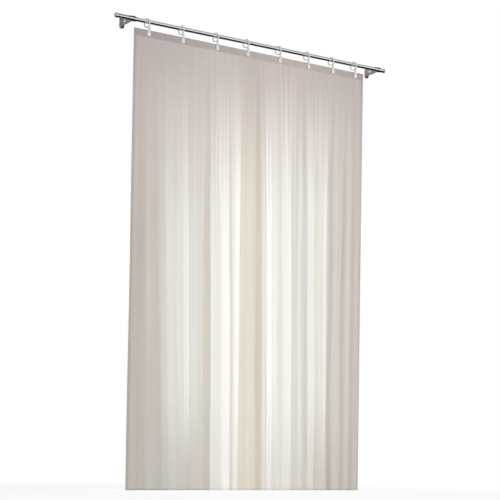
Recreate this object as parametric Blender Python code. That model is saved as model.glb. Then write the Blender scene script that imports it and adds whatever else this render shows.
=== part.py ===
"""Fly screen curtain: translucent voile on eight clip rings, on a chrome rod in two wall brackets.

Lengths are in metres. X runs along the rod to the right, the front faces -Y, and Z is up.
The origin is the centre of the left wall plate's back face, level with the rod's axis.
"""

import math

import bmesh
import bpy
from mathutils import Matrix, Vector

# Clearances
GAP = 0.0003
CUT_OVERRUN = 0.001
JOINT_OVERLAP = 0.0005

# Rod
ROD_RADIUS = 0.010
ROD_WALL = 0.0015
WALL_TO_ROD = 0.088
BRACKET_SPACING = 1.620
ROD_OVERHANG_LEFT = 0.091
ROD_OVERHANG_RIGHT = 0.040

# End caps
CAP_RADIUS = 0.012
CAP_LENGTH = 0.008
CAP_EDGE_RADIUS = 0.003
CAP_PLUG_LENGTH = 0.014

# Brackets
PLATE_WIDTH = 0.028
PLATE_HEIGHT = 0.070
PLATE_THICKNESS = 0.005
PLATE_EDGE_RADIUS = 0.0012
WEB_THICKNESS = 0.003
WEB_ROOT_HALF_HEIGHT = 0.0225
WEB_WAIST_HALF_HEIGHT = 0.0175
WEB_EYE_HALF_HEIGHT = 0.0115
WEB_HOLE_RADIUS = 0.0065
WEB_HOLE_FROM_WALL = 0.026
EYE_WALL = 0.0014
BUSH_RADIUS = 0.0128
BUSH_LENGTH = 0.017
BUSH_EDGE_RADIUS = 0.0015
SPIGOT_WALL = 0.0012

# Grub screws
GRUB_RADIUS = 0.0020
GRUB_PROUD = 0.0006
GRUB_SOCKET_RADIUS = 0.0011
GRUB_SOCKET_DEPTH = 0.0020

# Wall screws
SCREW_OFFSET = 0.0285
SCREW_SHANK_RADIUS = 0.0020
SCREW_HEAD_RADIUS = 0.0042
SCREW_HEAD_HEIGHT = 0.0026
SCREW_SLOT_LENGTH = 0.0046
SCREW_SLOT_WIDTH = 0.0011
SCREW_SLOT_DEPTH = 0.0012

# Curtain
CURTAIN_WIDTH = 1.500
CURTAIN_HEIGHT = 2.200
CURTAIN_LEFT = 0.006
CURTAIN_FORWARD = 0.008
ROD_TO_TAPE = 0.043
PANEL_THICKNESS = 0.0004
TAPE_HEIGHT = 0.035
TAPE_THICKNESS = 0.0010
HEM_THICKNESS = 0.0006
SIDE_HEM_WIDTH = 0.015
BOTTOM_HEM_HEIGHT = 0.010
FOLD_DEPTH = 0.030
FOLD_GROWTH_LENGTH = 0.45

# Pleats that stand forward: left edge and right edge as shares of the width, and depth.
# The first and last reach past the cloth, so that its side edges stand as far forward as they do.
PLEAT_SHARES = (
    (-0.008, 0.030, 0.50),
    (0.044, 0.060, 0.30),
    (0.069, 0.226, 0.80),
    (0.303, 0.446, 1.00),
    (0.519, 0.668, 0.90),
    (0.723, 0.840, 0.80),
    (0.862, 0.882, 0.45),
    (0.922, 0.945, 0.30),
    (0.965, 1.008, 0.50),
)
PLEAT_EDGE_SHARE = 0.016

# How far each place across the cloth drifts to the right by the hem, as shares of the width
DRIFT_SHARES = (
    (0.000, 0.007),
    (0.012, 0.007),
    (0.069, 0.060),
    (0.226, 0.035),
    (0.303, 0.026),
    (0.395, 0.033),
    (0.446, 0.006),
    (0.495, 0.030),
    (0.519, 0.027),
    (0.668, 0.025),
    (0.723, 0.026),
    (0.840, 0.005),
    (0.988, -0.002),
    (1.000, -0.002),
)

# Mesh lines of the cloth: the least share between columns, and rows as shares of the drop
COLUMN_SPACING_SHARE = 0.005
PANEL_ROW_SHARES = (0.05, 0.13, 0.25, 0.41, 0.60, 0.80)

# Rings with clips
RING_PLACE_SHARES = (0.058, 0.196, 0.339, 0.470, 0.612, 0.741, 0.855, 0.962)
RING_INNER_RADIUS = 0.019
RING_STOCK = 0.005
RING_EDGE_RADIUS = 0.0010
RING_SEAT_ANGLE = math.radians(39)
RING_LOWER_ANGLE = math.radians(-122)
STEM_CRANK_DROP = 0.017
NECK_THICKNESS = 0.0047
NECK_CRANK_ABOVE_PIN = 0.0075
NECK_BOTTOM_ABOVE_TAPE = 0.0008

# Clip jaws, pin and spring
JAW_HEIGHT = 0.031
FRONT_JAW_HALF_WIDTH = 0.0105
FRONT_JAW_THICKNESS = 0.0024
FRONT_JAW_BELOW_PIN = 0.0034
REAR_JAW_HALF_WIDTH = 0.0095
REAR_JAW_NECK_HALF_WIDTH = 0.0030
REAR_JAW_THICKNESS = 0.0022
PIN_RADIUS = 0.0010
PIN_ABOVE_TAPE = 0.0045
PIN_BEFORE_JAW_BACK = 0.0006
CHEEK_THICKNESS = 0.0018
CHEEK_START_ANGLE = math.radians(-60)
TAIL_THICKNESS = 0.0016
TAIL_BEFORE_PIN = 0.0036
TAIL_BOTTOM_ABOVE_PIN = 0.0020
TAIL_TOP_ABOVE_PIN = 0.0070
SPRING_THICKNESS = 0.0005
SPRING_HALF_WIDTH = 0.0018
SPRING_LEG = 0.0014

# Counts of sides on round pieces, and of steps on a rounded edge
ROD_SIDES = 32
SLEEVE_SIDES = 24
RING_SIDES = 24
SMALL_SIDES = 10
SOCKET_SIDES = 6
EDGE_STEPS = 2

# Angles at which an edge stays sharp or is bevelled
TURNED_SHARP_ANGLE = math.radians(40)
MOULDED_SHARP_ANGLE = math.radians(35)
CLOTH_SHARP_ANGLE = math.radians(60)
BEVEL_ANGLE = math.radians(50)

# Derived places
ROD_Y = -WALL_TO_ROD
CURTAIN_Y = ROD_Y - CURTAIN_FORWARD
TAPE_TOP = -ROD_TO_TAPE
TAPE_BOTTOM = TAPE_TOP - TAPE_HEIGHT
CURTAIN_BOTTOM = TAPE_TOP - CURTAIN_HEIGHT
BOTTOM_HEM_TOP = CURTAIN_BOTTOM + BOTTOM_HEM_HEIGHT
PANEL_FRONT = -PANEL_THICKNESS / 2
PANEL_BACK = PANEL_THICKNESS / 2
TAPE_BACK = PANEL_FRONT - GAP
TAPE_FRONT = TAPE_BACK - TAPE_THICKNESS
HEM_FRONT = PANEL_BACK + GAP
HEM_BACK = HEM_FRONT + HEM_THICKNESS
BUSH_BORE = ROD_RADIUS + GAP
SPIGOT_RADIUS = BUSH_BORE + SPIGOT_WALL
EYE_BORE = SPIGOT_RADIUS + GAP
EYE_RADIUS = EYE_BORE + EYE_WALL
BUSH_START = WEB_THICKNESS / 2 + GAP

# Derived places on a ring, measured from the rod's axis
RING_OUTER_RADIUS = RING_INNER_RADIUS + RING_STOCK
RING_OFFSET = RING_INNER_RADIUS - ROD_RADIUS - GAP
RING_CENTRE_Y = RING_OFFSET * math.cos(RING_SEAT_ANGLE)
RING_CENTRE_Z = -RING_OFFSET * math.sin(RING_SEAT_ANGLE)
FRONT_JAW_BACK = -CURTAIN_FORWARD + TAPE_FRONT - GAP
FRONT_JAW_FRONT = FRONT_JAW_BACK - FRONT_JAW_THICKNESS
REAR_JAW_FRONT = -CURTAIN_FORWARD + PANEL_BACK + GAP
REAR_JAW_BACK = REAR_JAW_FRONT + REAR_JAW_THICKNESS
PIN_Y = FRONT_JAW_BACK - PIN_BEFORE_JAW_BACK
PIN_Z = TAPE_TOP + PIN_ABOVE_TAPE
PIN_BORE = PIN_RADIUS + GAP
KNUCKLE_RADIUS = REAR_JAW_FRONT - GAP - PIN_Y
CHEEK_INNER = RING_STOCK / 2 + GAP
CHEEK_OUTER = CHEEK_INNER + CHEEK_THICKNESS
NECK_BACK = REAR_JAW_BACK + GAP
NECK_FRONT = NECK_BACK - NECK_THICKNESS
TAIL_BACK = PIN_Y - TAIL_BEFORE_PIN
TAIL_FRONT = TAIL_BACK - TAIL_THICKNESS


def clear_scene():
    """Remove whatever the open file holds, so that only the curtain is left."""
    for obj in list(bpy.data.objects):
        bpy.data.objects.remove(obj, do_unlink=True)


def make_material(name, colour, roughness, metallic=0.0):
    """A Principled material with the part's own colour."""
    material = bpy.data.materials.new(name)
    material.use_nodes = True
    shader = material.node_tree.nodes["Principled BSDF"]
    shader.inputs["Base Color"].default_value = (*colour, 1.0)
    shader.inputs["Roughness"].default_value = roughness
    shader.inputs["Metallic"].default_value = metallic
    material.diffuse_color = (*colour, 1.0)
    return material


def chrome():
    return make_material("chrome", (0.80, 0.80, 0.78), 0.12, 1.0)


def bracket_metal():
    return make_material("bracket_metal", (0.52, 0.52, 0.49), 0.35, 1.0)


def screw_steel():
    return make_material("screw_steel", (0.60, 0.60, 0.58), 0.30, 1.0)


def ring_plastic():
    return make_material("ring_plastic", (0.72, 0.71, 0.73), 0.30)


def jaw_plastic():
    return make_material("jaw_plastic", (0.84, 0.87, 0.83), 0.35)


def spring_steel():
    return make_material("spring_steel", (0.55, 0.55, 0.55), 0.30, 1.0)


def voile():
    return make_material("voile", (0.80, 0.77, 0.73), 0.85)


def heading_cloth():
    return make_material("heading_cloth", (0.55, 0.51, 0.50), 0.85)


def place(name, mesh, material, parent=None, location=(0.0, 0.0, 0.0)):
    """Link one named object, which may share its mesh with others."""
    obj = bpy.data.objects.new(name, mesh)
    obj.location = location
    obj.parent = parent
    bpy.context.scene.collection.objects.link(obj)
    if not mesh.materials:
        mesh.materials.append(material)
    return obj


def place_empty(name, location, parent=None):
    """An empty that carries the pieces of one moving group, on that group's axis."""
    empty = bpy.data.objects.new(name, None)
    empty.location = location
    empty.parent = parent
    bpy.context.scene.collection.objects.link(empty)
    return empty


def finish_mesh(bm, name, smooth_angle=None):
    """Turn a closed bmesh into a mesh whose faces point outwards."""
    bmesh.ops.recalc_face_normals(bm, faces=bm.faces)
    mesh = bpy.data.meshes.new(name)
    bm.to_mesh(mesh)
    bm.free()
    if smooth_angle is not None:
        mesh.shade_smooth()
        mesh.set_sharp_from_angle(angle=smooth_angle)
    return mesh


def prism(outline, start, end, axis):
    """A closed solid: an outline in the plane square to axis, carried from start to end along it.

    For axis X the outline's points are (Y, Z), for Y they are (X, Z), and for Z they are (X, Y).
    """

    def point(u, v, along):
        if axis == "X":
            return (along, u, v)
        if axis == "Y":
            return (u, along, v)
        return (u, v, along)

    bm = bmesh.new()
    face = bm.faces.new([bm.verts.new(point(u, v, start)) for u, v in outline])
    extruded = bmesh.ops.extrude_face_region(bm, geom=[face])
    moved = [item for item in extruded["geom"] if isinstance(item, bmesh.types.BMVert)]
    shift = Vector(point(0.0, 0.0, end)) - Vector(point(0.0, 0.0, start))
    bmesh.ops.translate(bm, verts=moved, vec=shift)
    return finish_mesh(bm, "prism")


def lofted(outlines):
    """A closed solid through outlines of (X, Y, Z) points that match one to one."""
    bm = bmesh.new()
    loops = [[bm.verts.new(spot) for spot in outline] for outline in outlines]
    for near, far in zip(loops, loops[1:]):
        for index, corner in enumerate(near):
            bm.faces.new((near[index - 1], corner, far[index], far[index - 1]))
    bm.faces.new(loops[0])
    bm.faces.new(loops[-1])
    return finish_mesh(bm, "lofted")


def turned(profile, sides, axis):
    """A solid of revolution about an axis through the origin.

    The profile is a list of (along, radius). It is closed by the solid itself where it starts and
    ends on the axis, and otherwise its last point joins its first, which leaves a bore.
    """
    bm = bmesh.new()
    rings = []
    for along, radius in profile:
        ring = []
        for side in range(sides if radius > 0 else 1):
            turn = 2 * math.pi * side / sides
            u = radius * math.cos(turn)
            v = radius * math.sin(turn)
            spot = {"X": (along, u, v), "Y": (u, along, v), "Z": (u, v, along)}[axis]
            ring.append(bm.verts.new(spot))
        rings.append(ring)
    open_ends = profile[0][1] > 0
    pairs = list(zip(rings, rings[1:]))
    if open_ends:
        pairs.append((rings[-1], rings[0]))
    for lower, upper in pairs:
        for side in range(sides):
            after = (side + 1) % sides
            corners = [lower[side % len(lower)], lower[after % len(lower)]]
            corners += [upper[after % len(upper)], upper[side % len(upper)]]
            bm.faces.new(list(dict.fromkeys(corners)))
    return finish_mesh(bm, "turned", TURNED_SHARP_ANGLE)


def arc(centre_u, centre_v, radius, start, end, steps):
    """Points on an arc, both ends included."""
    points = []
    for step in range(steps + 1):
        angle = start + (end - start) * step / steps
        points.append((centre_u + radius * math.cos(angle), centre_v + radius * math.sin(angle)))
    return points


def combined(base, joins=(), cuts=(), bevel=None, smooth_angle=None):
    """One mesh: the base cut by each of cuts, its sharp edges bevelled, then joined with joins."""
    helpers = []

    def add(mesh):
        obj = bpy.data.objects.new("helper", mesh)
        bpy.context.scene.collection.objects.link(obj)
        helpers.append(obj)
        return obj

    work = add(base)

    def add_boolean(mesh, operation):
        modifier = work.modifiers.new(operation.lower(), "BOOLEAN")
        modifier.operation = operation
        modifier.solver = "EXACT"
        modifier.object = add(mesh)

    for mesh in cuts:
        add_boolean(mesh, "DIFFERENCE")
    if bevel is not None:
        modifier = work.modifiers.new("edges", "BEVEL")
        modifier.width = bevel
        modifier.segments = 1
        modifier.limit_method = "ANGLE"
        modifier.angle_limit = BEVEL_ANGLE
    for mesh in joins:
        add_boolean(mesh, "UNION")
    bpy.context.view_layer.update()
    evaluated = work.evaluated_get(bpy.context.evaluated_depsgraph_get())
    result = bpy.data.meshes.new_from_object(evaluated)
    for obj in helpers:
        bpy.data.objects.remove(obj, do_unlink=True)
    if smooth_angle is not None:
        result.shade_smooth()
        result.set_sharp_from_angle(angle=smooth_angle)
    return result


def rounded_end(length, radius, edge, steps=EDGE_STEPS):
    """Profile points from (length - edge, radius) round to (length, radius - edge)."""
    return arc(length - edge, radius - edge, edge, math.pi / 2, 0.0, steps)


# Rod and end caps


def rod_mesh():
    start = -ROD_OVERHANG_LEFT
    end = BRACKET_SPACING + ROD_OVERHANG_RIGHT
    bore = ROD_RADIUS - ROD_WALL
    profile = [(start, bore), (start, ROD_RADIUS), (end, ROD_RADIUS), (end, bore)]
    return turned(profile, ROD_SIDES, "X")


def cap_mesh(direction):
    """A cap whose flange covers the tube's end and whose plug sits in its bore."""
    plug_radius = ROD_RADIUS - ROD_WALL - GAP
    profile = [(-CAP_PLUG_LENGTH, 0.0), (-CAP_PLUG_LENGTH, plug_radius)]
    profile += [(GAP, plug_radius), (GAP, CAP_RADIUS)]
    profile += rounded_end(CAP_LENGTH, CAP_RADIUS, CAP_EDGE_RADIUS)
    profile += [(CAP_LENGTH, 0.0)]
    return turned([(direction * along, radius) for along, radius in profile], SLEEVE_SIDES, "X")


def build_rod(metal):
    place("rod", rod_mesh(), metal, location=(0.0, ROD_Y, 0.0))
    left = (-ROD_OVERHANG_LEFT, ROD_Y, 0.0)
    right = (BRACKET_SPACING + ROD_OVERHANG_RIGHT, ROD_Y, 0.0)
    place("end_cap_left", cap_mesh(-1), metal, location=left)
    place("end_cap_right", cap_mesh(1), metal, location=right)


# Brackets


def plate_outline(radius, y):
    """Straight sides and round ends of a radius, at a place y on the way out from the wall."""
    straight = (PLATE_HEIGHT - PLATE_WIDTH) / 2
    outline = arc(0.0, straight, radius, 0.0, math.pi, SMALL_SIDES)
    outline += arc(0.0, -straight, radius, math.pi, 2 * math.pi, SMALL_SIDES)
    return [(x, y, z) for x, z in outline]


def plate_mesh():
    """The wall plate, with its front edge bevelled and a hole for each screw."""
    radius = PLATE_WIDTH / 2
    edge_start = PLATE_EDGE_RADIUS - PLATE_THICKNESS
    outlines = [plate_outline(radius, 0.0), plate_outline(radius, edge_start)]
    outlines += [plate_outline(radius - PLATE_EDGE_RADIUS, -PLATE_THICKNESS)]
    holes = []
    for side in (-1, 1):
        bore = SCREW_SHANK_RADIUS + GAP
        ring = arc(0.0, side * SCREW_OFFSET, bore, 0.0, 2 * math.pi, SMALL_SIDES)[:-1]
        holes.append(prism(ring, -PLATE_THICKNESS - CUT_OVERRUN, CUT_OVERRUN, "Y"))
    return combined(lofted(outlines), cuts=holes)


def web_mesh():
    """The tapered web, from inside the plate to the eye, with its round hole and the eye's bore."""
    root = -PLATE_THICKNESS + JOINT_OVERLAP
    waist = (root - WALL_TO_ROD) / 2
    outline = [(root, -WEB_ROOT_HALF_HEIGHT), (waist, -WEB_WAIST_HALF_HEIGHT)]
    outline += [(-WALL_TO_ROD, -WEB_EYE_HALF_HEIGHT), (-WALL_TO_ROD, WEB_EYE_HALF_HEIGHT)]
    outline += [(waist, WEB_WAIST_HALF_HEIGHT), (root, WEB_ROOT_HALF_HEIGHT)]
    half = WEB_THICKNESS / 2
    eye = arc(-WALL_TO_ROD, 0.0, EYE_RADIUS, 0.0, 2 * math.pi, SLEEVE_SIDES)[:-1]
    bore = arc(-WALL_TO_ROD, 0.0, EYE_BORE, 0.0, 2 * math.pi, SLEEVE_SIDES)[:-1]
    hole = arc(-WEB_HOLE_FROM_WALL, 0.0, WEB_HOLE_RADIUS, 0.0, 2 * math.pi, SMALL_SIDES)[:-1]
    plain = combined(prism(outline, -half, half, "X"), joins=[prism(eye, -half, half, "X")])
    cutters = [prism(ring, -half - CUT_OVERRUN, half + CUT_OVERRUN, "X") for ring in (bore, hole)]
    return combined(plain, cuts=cutters)


def bracket_mesh():
    return combined(plate_mesh(), joins=[web_mesh()], smooth_angle=MOULDED_SHARP_ANGLE)


def bush_mesh(direction, spigot):
    """A sleeve beside the eye. The outer one has a spigot that fills the eye's bore."""
    end = BUSH_START + BUSH_LENGTH
    profile = rounded_end(end, BUSH_RADIUS, BUSH_EDGE_RADIUS)
    profile += [(end, BUSH_BORE)]
    if spigot:
        inner = -WEB_THICKNESS / 2
        profile += [(inner, BUSH_BORE), (inner, SPIGOT_RADIUS), (BUSH_START, SPIGOT_RADIUS)]
    else:
        profile += [(BUSH_START, BUSH_BORE)]
    profile += [(BUSH_START, BUSH_RADIUS)]
    return turned([(direction * along, radius) for along, radius in profile], SLEEVE_SIDES, "X")


def grub_hole_mesh(along):
    """The cutter for the grub screw's hole, straight down from the rod."""
    radius = GRUB_RADIUS + GAP
    ring = arc(along, 0.0, radius, 0.0, 2 * math.pi, SMALL_SIDES)[:-1]
    return prism(ring, -BUSH_RADIUS - CUT_OVERRUN, -ROD_RADIUS / 2, "Z")


def grub_mesh():
    """A set screw with a hexagon socket, its point on the rod's underside."""
    outer = -BUSH_RADIUS - GRUB_PROUD
    ring = arc(0.0, 0.0, GRUB_RADIUS, 0.0, 2 * math.pi, SMALL_SIDES)[:-1]
    socket = arc(0.0, 0.0, GRUB_SOCKET_RADIUS, 0.0, 2 * math.pi, SOCKET_SIDES)[:-1]
    body = prism(ring, outer, -ROD_RADIUS - GAP, "Z")
    cutter = prism(socket, outer - CUT_OVERRUN, outer + GRUB_SOCKET_DEPTH, "Z")
    return combined(body, cuts=[cutter])


def wall_screw_mesh():
    """A pan head screw with a crossed slot. Its shank is cut off at the plate's back."""
    seat = -PLATE_THICKNESS - GAP
    top = seat - SCREW_HEAD_HEIGHT
    edge = SCREW_HEAD_HEIGHT / 2
    profile = [(0.0, 0.0), (0.0, SCREW_SHANK_RADIUS), (seat, SCREW_SHANK_RADIUS)]
    profile += [(seat, SCREW_HEAD_RADIUS)]
    rounded = rounded_end(-top, SCREW_HEAD_RADIUS, edge)
    profile += [(-along, radius) for along, radius in rounded]
    profile += [(top, 0.0)]
    body = turned(profile, SMALL_SIDES, "Y")
    half_width = SCREW_SLOT_WIDTH / 2
    half_length = SCREW_SLOT_LENGTH / 2
    slots = []
    for u, v in ((half_width, half_length), (half_length, half_width)):
        corners = [(-u, -v), (u, -v), (u, v), (-u, v)]
        slots.append(prism(corners, top - CUT_OVERRUN, top + SCREW_SLOT_DEPTH, "Y"))
    cross = combined(slots[0], joins=[slots[1]])
    return combined(body, cuts=[cross], smooth_angle=TURNED_SHARP_ANGLE)


def build_brackets(metal, sleeve_metal, screw_metal):
    bracket = bracket_mesh()
    grub = grub_mesh()
    wall_screw = wall_screw_mesh()
    grub_place = BUSH_START + BUSH_LENGTH / 2
    for side, along, inward in (("left", 0.0, 1), ("right", BRACKET_SPACING, -1)):
        place("bracket_" + side, bracket, metal, location=(along, 0.0, 0.0))
        outer = bush_mesh(-inward, spigot=True)
        inner = bush_mesh(inward, spigot=False)
        hole = grub_hole_mesh(inward * grub_place)
        drilled = combined(inner, cuts=[hole], smooth_angle=TURNED_SHARP_ANGLE)
        place("bush_outer_" + side, outer, sleeve_metal, location=(along, ROD_Y, 0.0))
        place("bush_inner_" + side, drilled, sleeve_metal, location=(along, ROD_Y, 0.0))
        grub_x = along + inward * grub_place
        place("grub_screw_" + side, grub, screw_metal, location=(grub_x, ROD_Y, 0.0))
        for level, offset in (("upper", SCREW_OFFSET), ("lower", -SCREW_OFFSET)):
            name = "wall_screw_" + side + "_" + level
            place(name, wall_screw, screw_metal, location=(along, 0.0, offset))


# Cloth


def smooth_step(value):
    """A smooth rise from 0 to 1, level on both sides of it."""
    held = min(max(value, 0.0), 1.0)
    return held * held * (3 - 2 * held)


def fold_profile(share):
    """How far the pleats stand forward at a share of the width, less their mean.

    Less the mean, the pleats hang evenly before and behind the clips.
    """
    total = 0.0
    mean = 0.0
    for left, right, depth in PLEAT_SHARES:
        rise = smooth_step((share - left) / PLEAT_EDGE_SHARE + 0.5)
        fall = smooth_step((share - right) / PLEAT_EDGE_SHARE + 0.5)
        total += depth * (rise - fall)
        mean += depth * (right - left)
    return total - mean


def drift(share):
    """The drift by the hem at a share of the width, even between the places that name it."""
    for (near, near_drift), (far, far_drift) in zip(DRIFT_SHARES, DRIFT_SHARES[1:]):
        if share <= far:
            return near_drift + (far_drift - near_drift) * (share - near) / (far - near)
    return 0.0


def cloth_spot(share, z, offset):
    """A point of the cloth at a share of its width and a height, moved back by offset.

    The cloth is flat behind the tape. Below it the pleats grow and drift down the drop.
    """
    drop = max(TAPE_BOTTOM - z, 0.0)
    growth = 1 - math.exp(-drop / FOLD_GROWTH_LENGTH)
    lean = drift(share) * drop / (TAPE_BOTTOM - CURTAIN_BOTTOM)
    x = CURTAIN_LEFT + CURTAIN_WIDTH * (share + lean)
    return (x, CURTAIN_Y - FOLD_DEPTH * growth * fold_profile(share) + offset, z)


def cloth_mesh(columns, rows, front, back):
    """A closed strip of cloth between two offsets, over shares of the width and heights."""
    bm = bmesh.new()
    grids = []
    for offset in (front, back):
        spots = [[cloth_spot(share, z, offset) for z in rows] for share in columns]
        grids.append([[bm.verts.new(spot) for spot in line] for line in spots])
    last_column = len(columns) - 1
    last_row = len(rows) - 1
    for grid in grids:
        for i in range(last_column):
            for j in range(last_row):
                near, far = grid[i], grid[i + 1]
                bm.faces.new((near[j], far[j], far[j + 1]))
                bm.faces.new((near[j], far[j + 1], near[j + 1]))
    edge = [(i, 0) for i in range(last_column)]
    edge += [(last_column, j) for j in range(last_row)]
    edge += [(i, last_row) for i in range(last_column, 0, -1)]
    edge += [(0, j) for j in range(last_row, 0, -1)]
    before, behind = grids
    for (i, j), (k, m) in zip(edge, edge[1:] + edge[:1]):
        bm.faces.new((before[i][j], before[k][m], behind[k][m], behind[i][j]))
    return finish_mesh(bm, "cloth", CLOTH_SHARP_ANGLE)


def panel_columns():
    """Shares of the panel's column lines: at the hems' inner edges and on the pleats' flanks."""
    hem = SIDE_HEM_WIDTH / CURTAIN_WIDTH
    half = PLEAT_EDGE_SHARE / 2
    lines = [share for share, _ in DRIFT_SHARES]
    for left, right, _ in PLEAT_SHARES:
        lines += [left - half, left, left + half, right - half, right, right + half]
    kept = [0.0, hem]
    for line in sorted(lines):
        if kept[-1] + COLUMN_SPACING_SHARE < line < 1 - hem - COLUMN_SPACING_SHARE:
            kept.append(line)
    return kept + [1 - hem, 1.0]


def panel_rows():
    """Row lines down the panel, closer together where the folds grow fastest."""
    drop = TAPE_BOTTOM - BOTTOM_HEM_TOP
    rows = [TAPE_TOP, TAPE_BOTTOM]
    rows += [TAPE_BOTTOM - drop * share for share in PANEL_ROW_SHARES]
    return rows + [BOTTOM_HEM_TOP, CURTAIN_BOTTOM]


def build_cloth(carrier, cloth, heading):
    columns = panel_columns()
    rows = panel_rows()
    shift = tuple(-value for value in carrier.location)

    def hang(name, mesh, material):
        place(name, mesh, material, carrier, shift)

    hang("curtain_panel", cloth_mesh(columns, rows, PANEL_FRONT, PANEL_BACK), cloth)
    ends = [columns[0], columns[-1]]
    hang("heading_tape", cloth_mesh(ends, rows[:2], TAPE_FRONT, TAPE_BACK), heading)
    side_rows = rows[:-2] + [BOTTOM_HEM_TOP + GAP]
    hang("side_hem_left", cloth_mesh(columns[:2], side_rows, HEM_FRONT, HEM_BACK), cloth)
    hang("side_hem_right", cloth_mesh(columns[-2:], side_rows, HEM_FRONT, HEM_BACK), cloth)
    hang("bottom_hem", cloth_mesh(columns, rows[-2:], HEM_FRONT, HEM_BACK), cloth)


# Rings with clips


def teardrop(half_width, neck_half_width, top, bottom):
    """A jaw's outline: a narrow neck that widens to a round lower end."""
    centre = bottom + half_width
    height = top - centre
    lean = math.atan2(half_width - neck_half_width, height)
    points = [(-neck_half_width, top)]
    points += arc(0.0, centre, half_width, math.pi - lean, 2 * math.pi + lean, SMALL_SIDES)
    return points + [(neck_half_width, top)]


def loop_outline():
    """The ring's outer edge and its stem, which cranks back to the neck above the clip."""
    centre = (RING_CENTRE_Y, RING_CENTRE_Z)
    outline = arc(*centre, RING_OUTER_RADIUS, math.pi, RING_LOWER_ANGLE, RING_SIDES)
    stem_front = RING_CENTRE_Y - RING_OUTER_RADIUS
    crank = PIN_Z + NECK_CRANK_ABOVE_PIN
    neck_bottom = TAPE_TOP + NECK_BOTTOM_ABOVE_TAPE
    outline += [(NECK_BACK, crank), (NECK_BACK, neck_bottom), (NECK_FRONT, neck_bottom)]
    outline += [(NECK_FRONT, crank), (stem_front, RING_CENTRE_Z - STEM_CRANK_DROP)]
    return outline


def ring_mesh():
    """The loop, stem, neck and rear jaw, moulded in one piece, with the pin's bore."""
    half = RING_STOCK / 2
    inner = arc(RING_CENTRE_Y, RING_CENTRE_Z, RING_INNER_RADIUS, 0.0, 2 * math.pi, RING_SIDES)
    cutter = prism(inner[:-1], -half - CUT_OVERRUN, half + CUT_OVERRUN, "X")
    loop = combined(prism(loop_outline(), -half, half, "X"), [], [cutter], RING_EDGE_RADIUS)
    lug_ring = arc(PIN_Y, PIN_Z, KNUCKLE_RADIUS, 0.0, 2 * math.pi, SMALL_SIDES)[:-1]
    lug = prism(lug_ring, -half, half, "X")
    bottom = TAPE_TOP - JAW_HEIGHT
    jaw = teardrop(REAR_JAW_HALF_WIDTH, REAR_JAW_NECK_HALF_WIDTH, PIN_Z, bottom)
    jaw_plate = prism(jaw, REAR_JAW_FRONT, REAR_JAW_BACK, "Y")
    joined = combined(loop, joins=[lug, jaw_plate])
    return combined(joined, cuts=[pin_bore(half)], smooth_angle=MOULDED_SHARP_ANGLE)


def pin_bore(half):
    """The cutter for the pin's bore, through a piece that reaches half to each side."""
    ring = arc(PIN_Y, PIN_Z, PIN_BORE, 0.0, 2 * math.pi, SMALL_SIDES)[:-1]
    return prism(ring, -half - CUT_OVERRUN, half + CUT_OVERRUN, "X")


def cheek_outline():
    """One cheek of the front jaw: round the pin, down to the plate and up to the tail."""
    plate_top = PIN_Z - FRONT_JAW_BELOW_PIN
    inside = (FRONT_JAW_FRONT + FRONT_JAW_BACK) / 2
    tail_middle = (TAIL_BACK + TAIL_FRONT) / 2
    tail_base = PIN_Z + TAIL_BOTTOM_ABOVE_PIN
    points = [(FRONT_JAW_FRONT, plate_top), (inside, plate_top - FRONT_JAW_THICKNESS)]
    points += [(FRONT_JAW_BACK, plate_top)]
    points += arc(PIN_Y, PIN_Z, KNUCKLE_RADIUS, CHEEK_START_ANGLE, math.pi / 2, SMALL_SIDES // 2)
    points += [(tail_middle, tail_base + TAIL_THICKNESS), (tail_middle, tail_base)]
    return points


def front_jaw_mesh():
    """The teardrop jaw with two cheeks on the pin and a tail that the spring pushes."""
    plate_top = PIN_Z - FRONT_JAW_BELOW_PIN
    bottom = TAPE_TOP - JAW_HEIGHT
    outline = teardrop(FRONT_JAW_HALF_WIDTH, CHEEK_OUTER, plate_top, bottom)
    plate = prism(outline, FRONT_JAW_FRONT, FRONT_JAW_BACK, "Y")
    cheeks = []
    for side in (-1, 1):
        ends = sorted((side * CHEEK_INNER, side * CHEEK_OUTER))
        cheeks.append(prism(cheek_outline(), ends[0], ends[1], "X"))
    low = PIN_Z + TAIL_BOTTOM_ABOVE_PIN
    high = PIN_Z + TAIL_TOP_ABOVE_PIN
    corners = [(TAIL_FRONT, low), (TAIL_BACK, low), (TAIL_BACK, high), (TAIL_FRONT, high)]
    tail = prism(corners, -CHEEK_OUTER, CHEEK_OUTER, "X")
    joined = combined(plate, joins=cheeks + [tail])
    bore = pin_bore(CHEEK_OUTER)
    return combined(joined, cuts=[bore], smooth_angle=MOULDED_SHARP_ANGLE)


def pin_mesh():
    """The pin that the front jaw turns on, flush with its cheeks."""
    ends = (-CHEEK_OUTER, CHEEK_OUTER)
    profile = [(ends[0], 0.0), (ends[0], PIN_RADIUS), (ends[1], PIN_RADIUS), (ends[1], 0.0)]
    return turned(profile, SMALL_SIDES, "X")


def spring_mesh():
    """A U-shaped leaf between the front jaw's tail and the neck."""
    front = TAIL_BACK + GAP
    back = NECK_FRONT - GAP
    middle = (front + back) / 2
    radius = (back - front) / 2
    bend = PIN_Z + KNUCKLE_RADIUS + GAP + radius
    inner = radius - SPRING_THICKNESS
    outline = [(front, bend + SPRING_LEG)]
    outline += arc(middle, bend, radius, math.pi, 2 * math.pi, SMALL_SIDES // 2)
    outline += [(back, bend + SPRING_LEG), (middle + inner, bend + SPRING_LEG)]
    outline += arc(middle, bend, inner, 2 * math.pi, math.pi, SMALL_SIDES // 2)
    outline += [(middle - inner, bend + SPRING_LEG)]
    return prism(outline, -SPRING_HALF_WIDTH, SPRING_HALF_WIDTH, "X")


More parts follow.
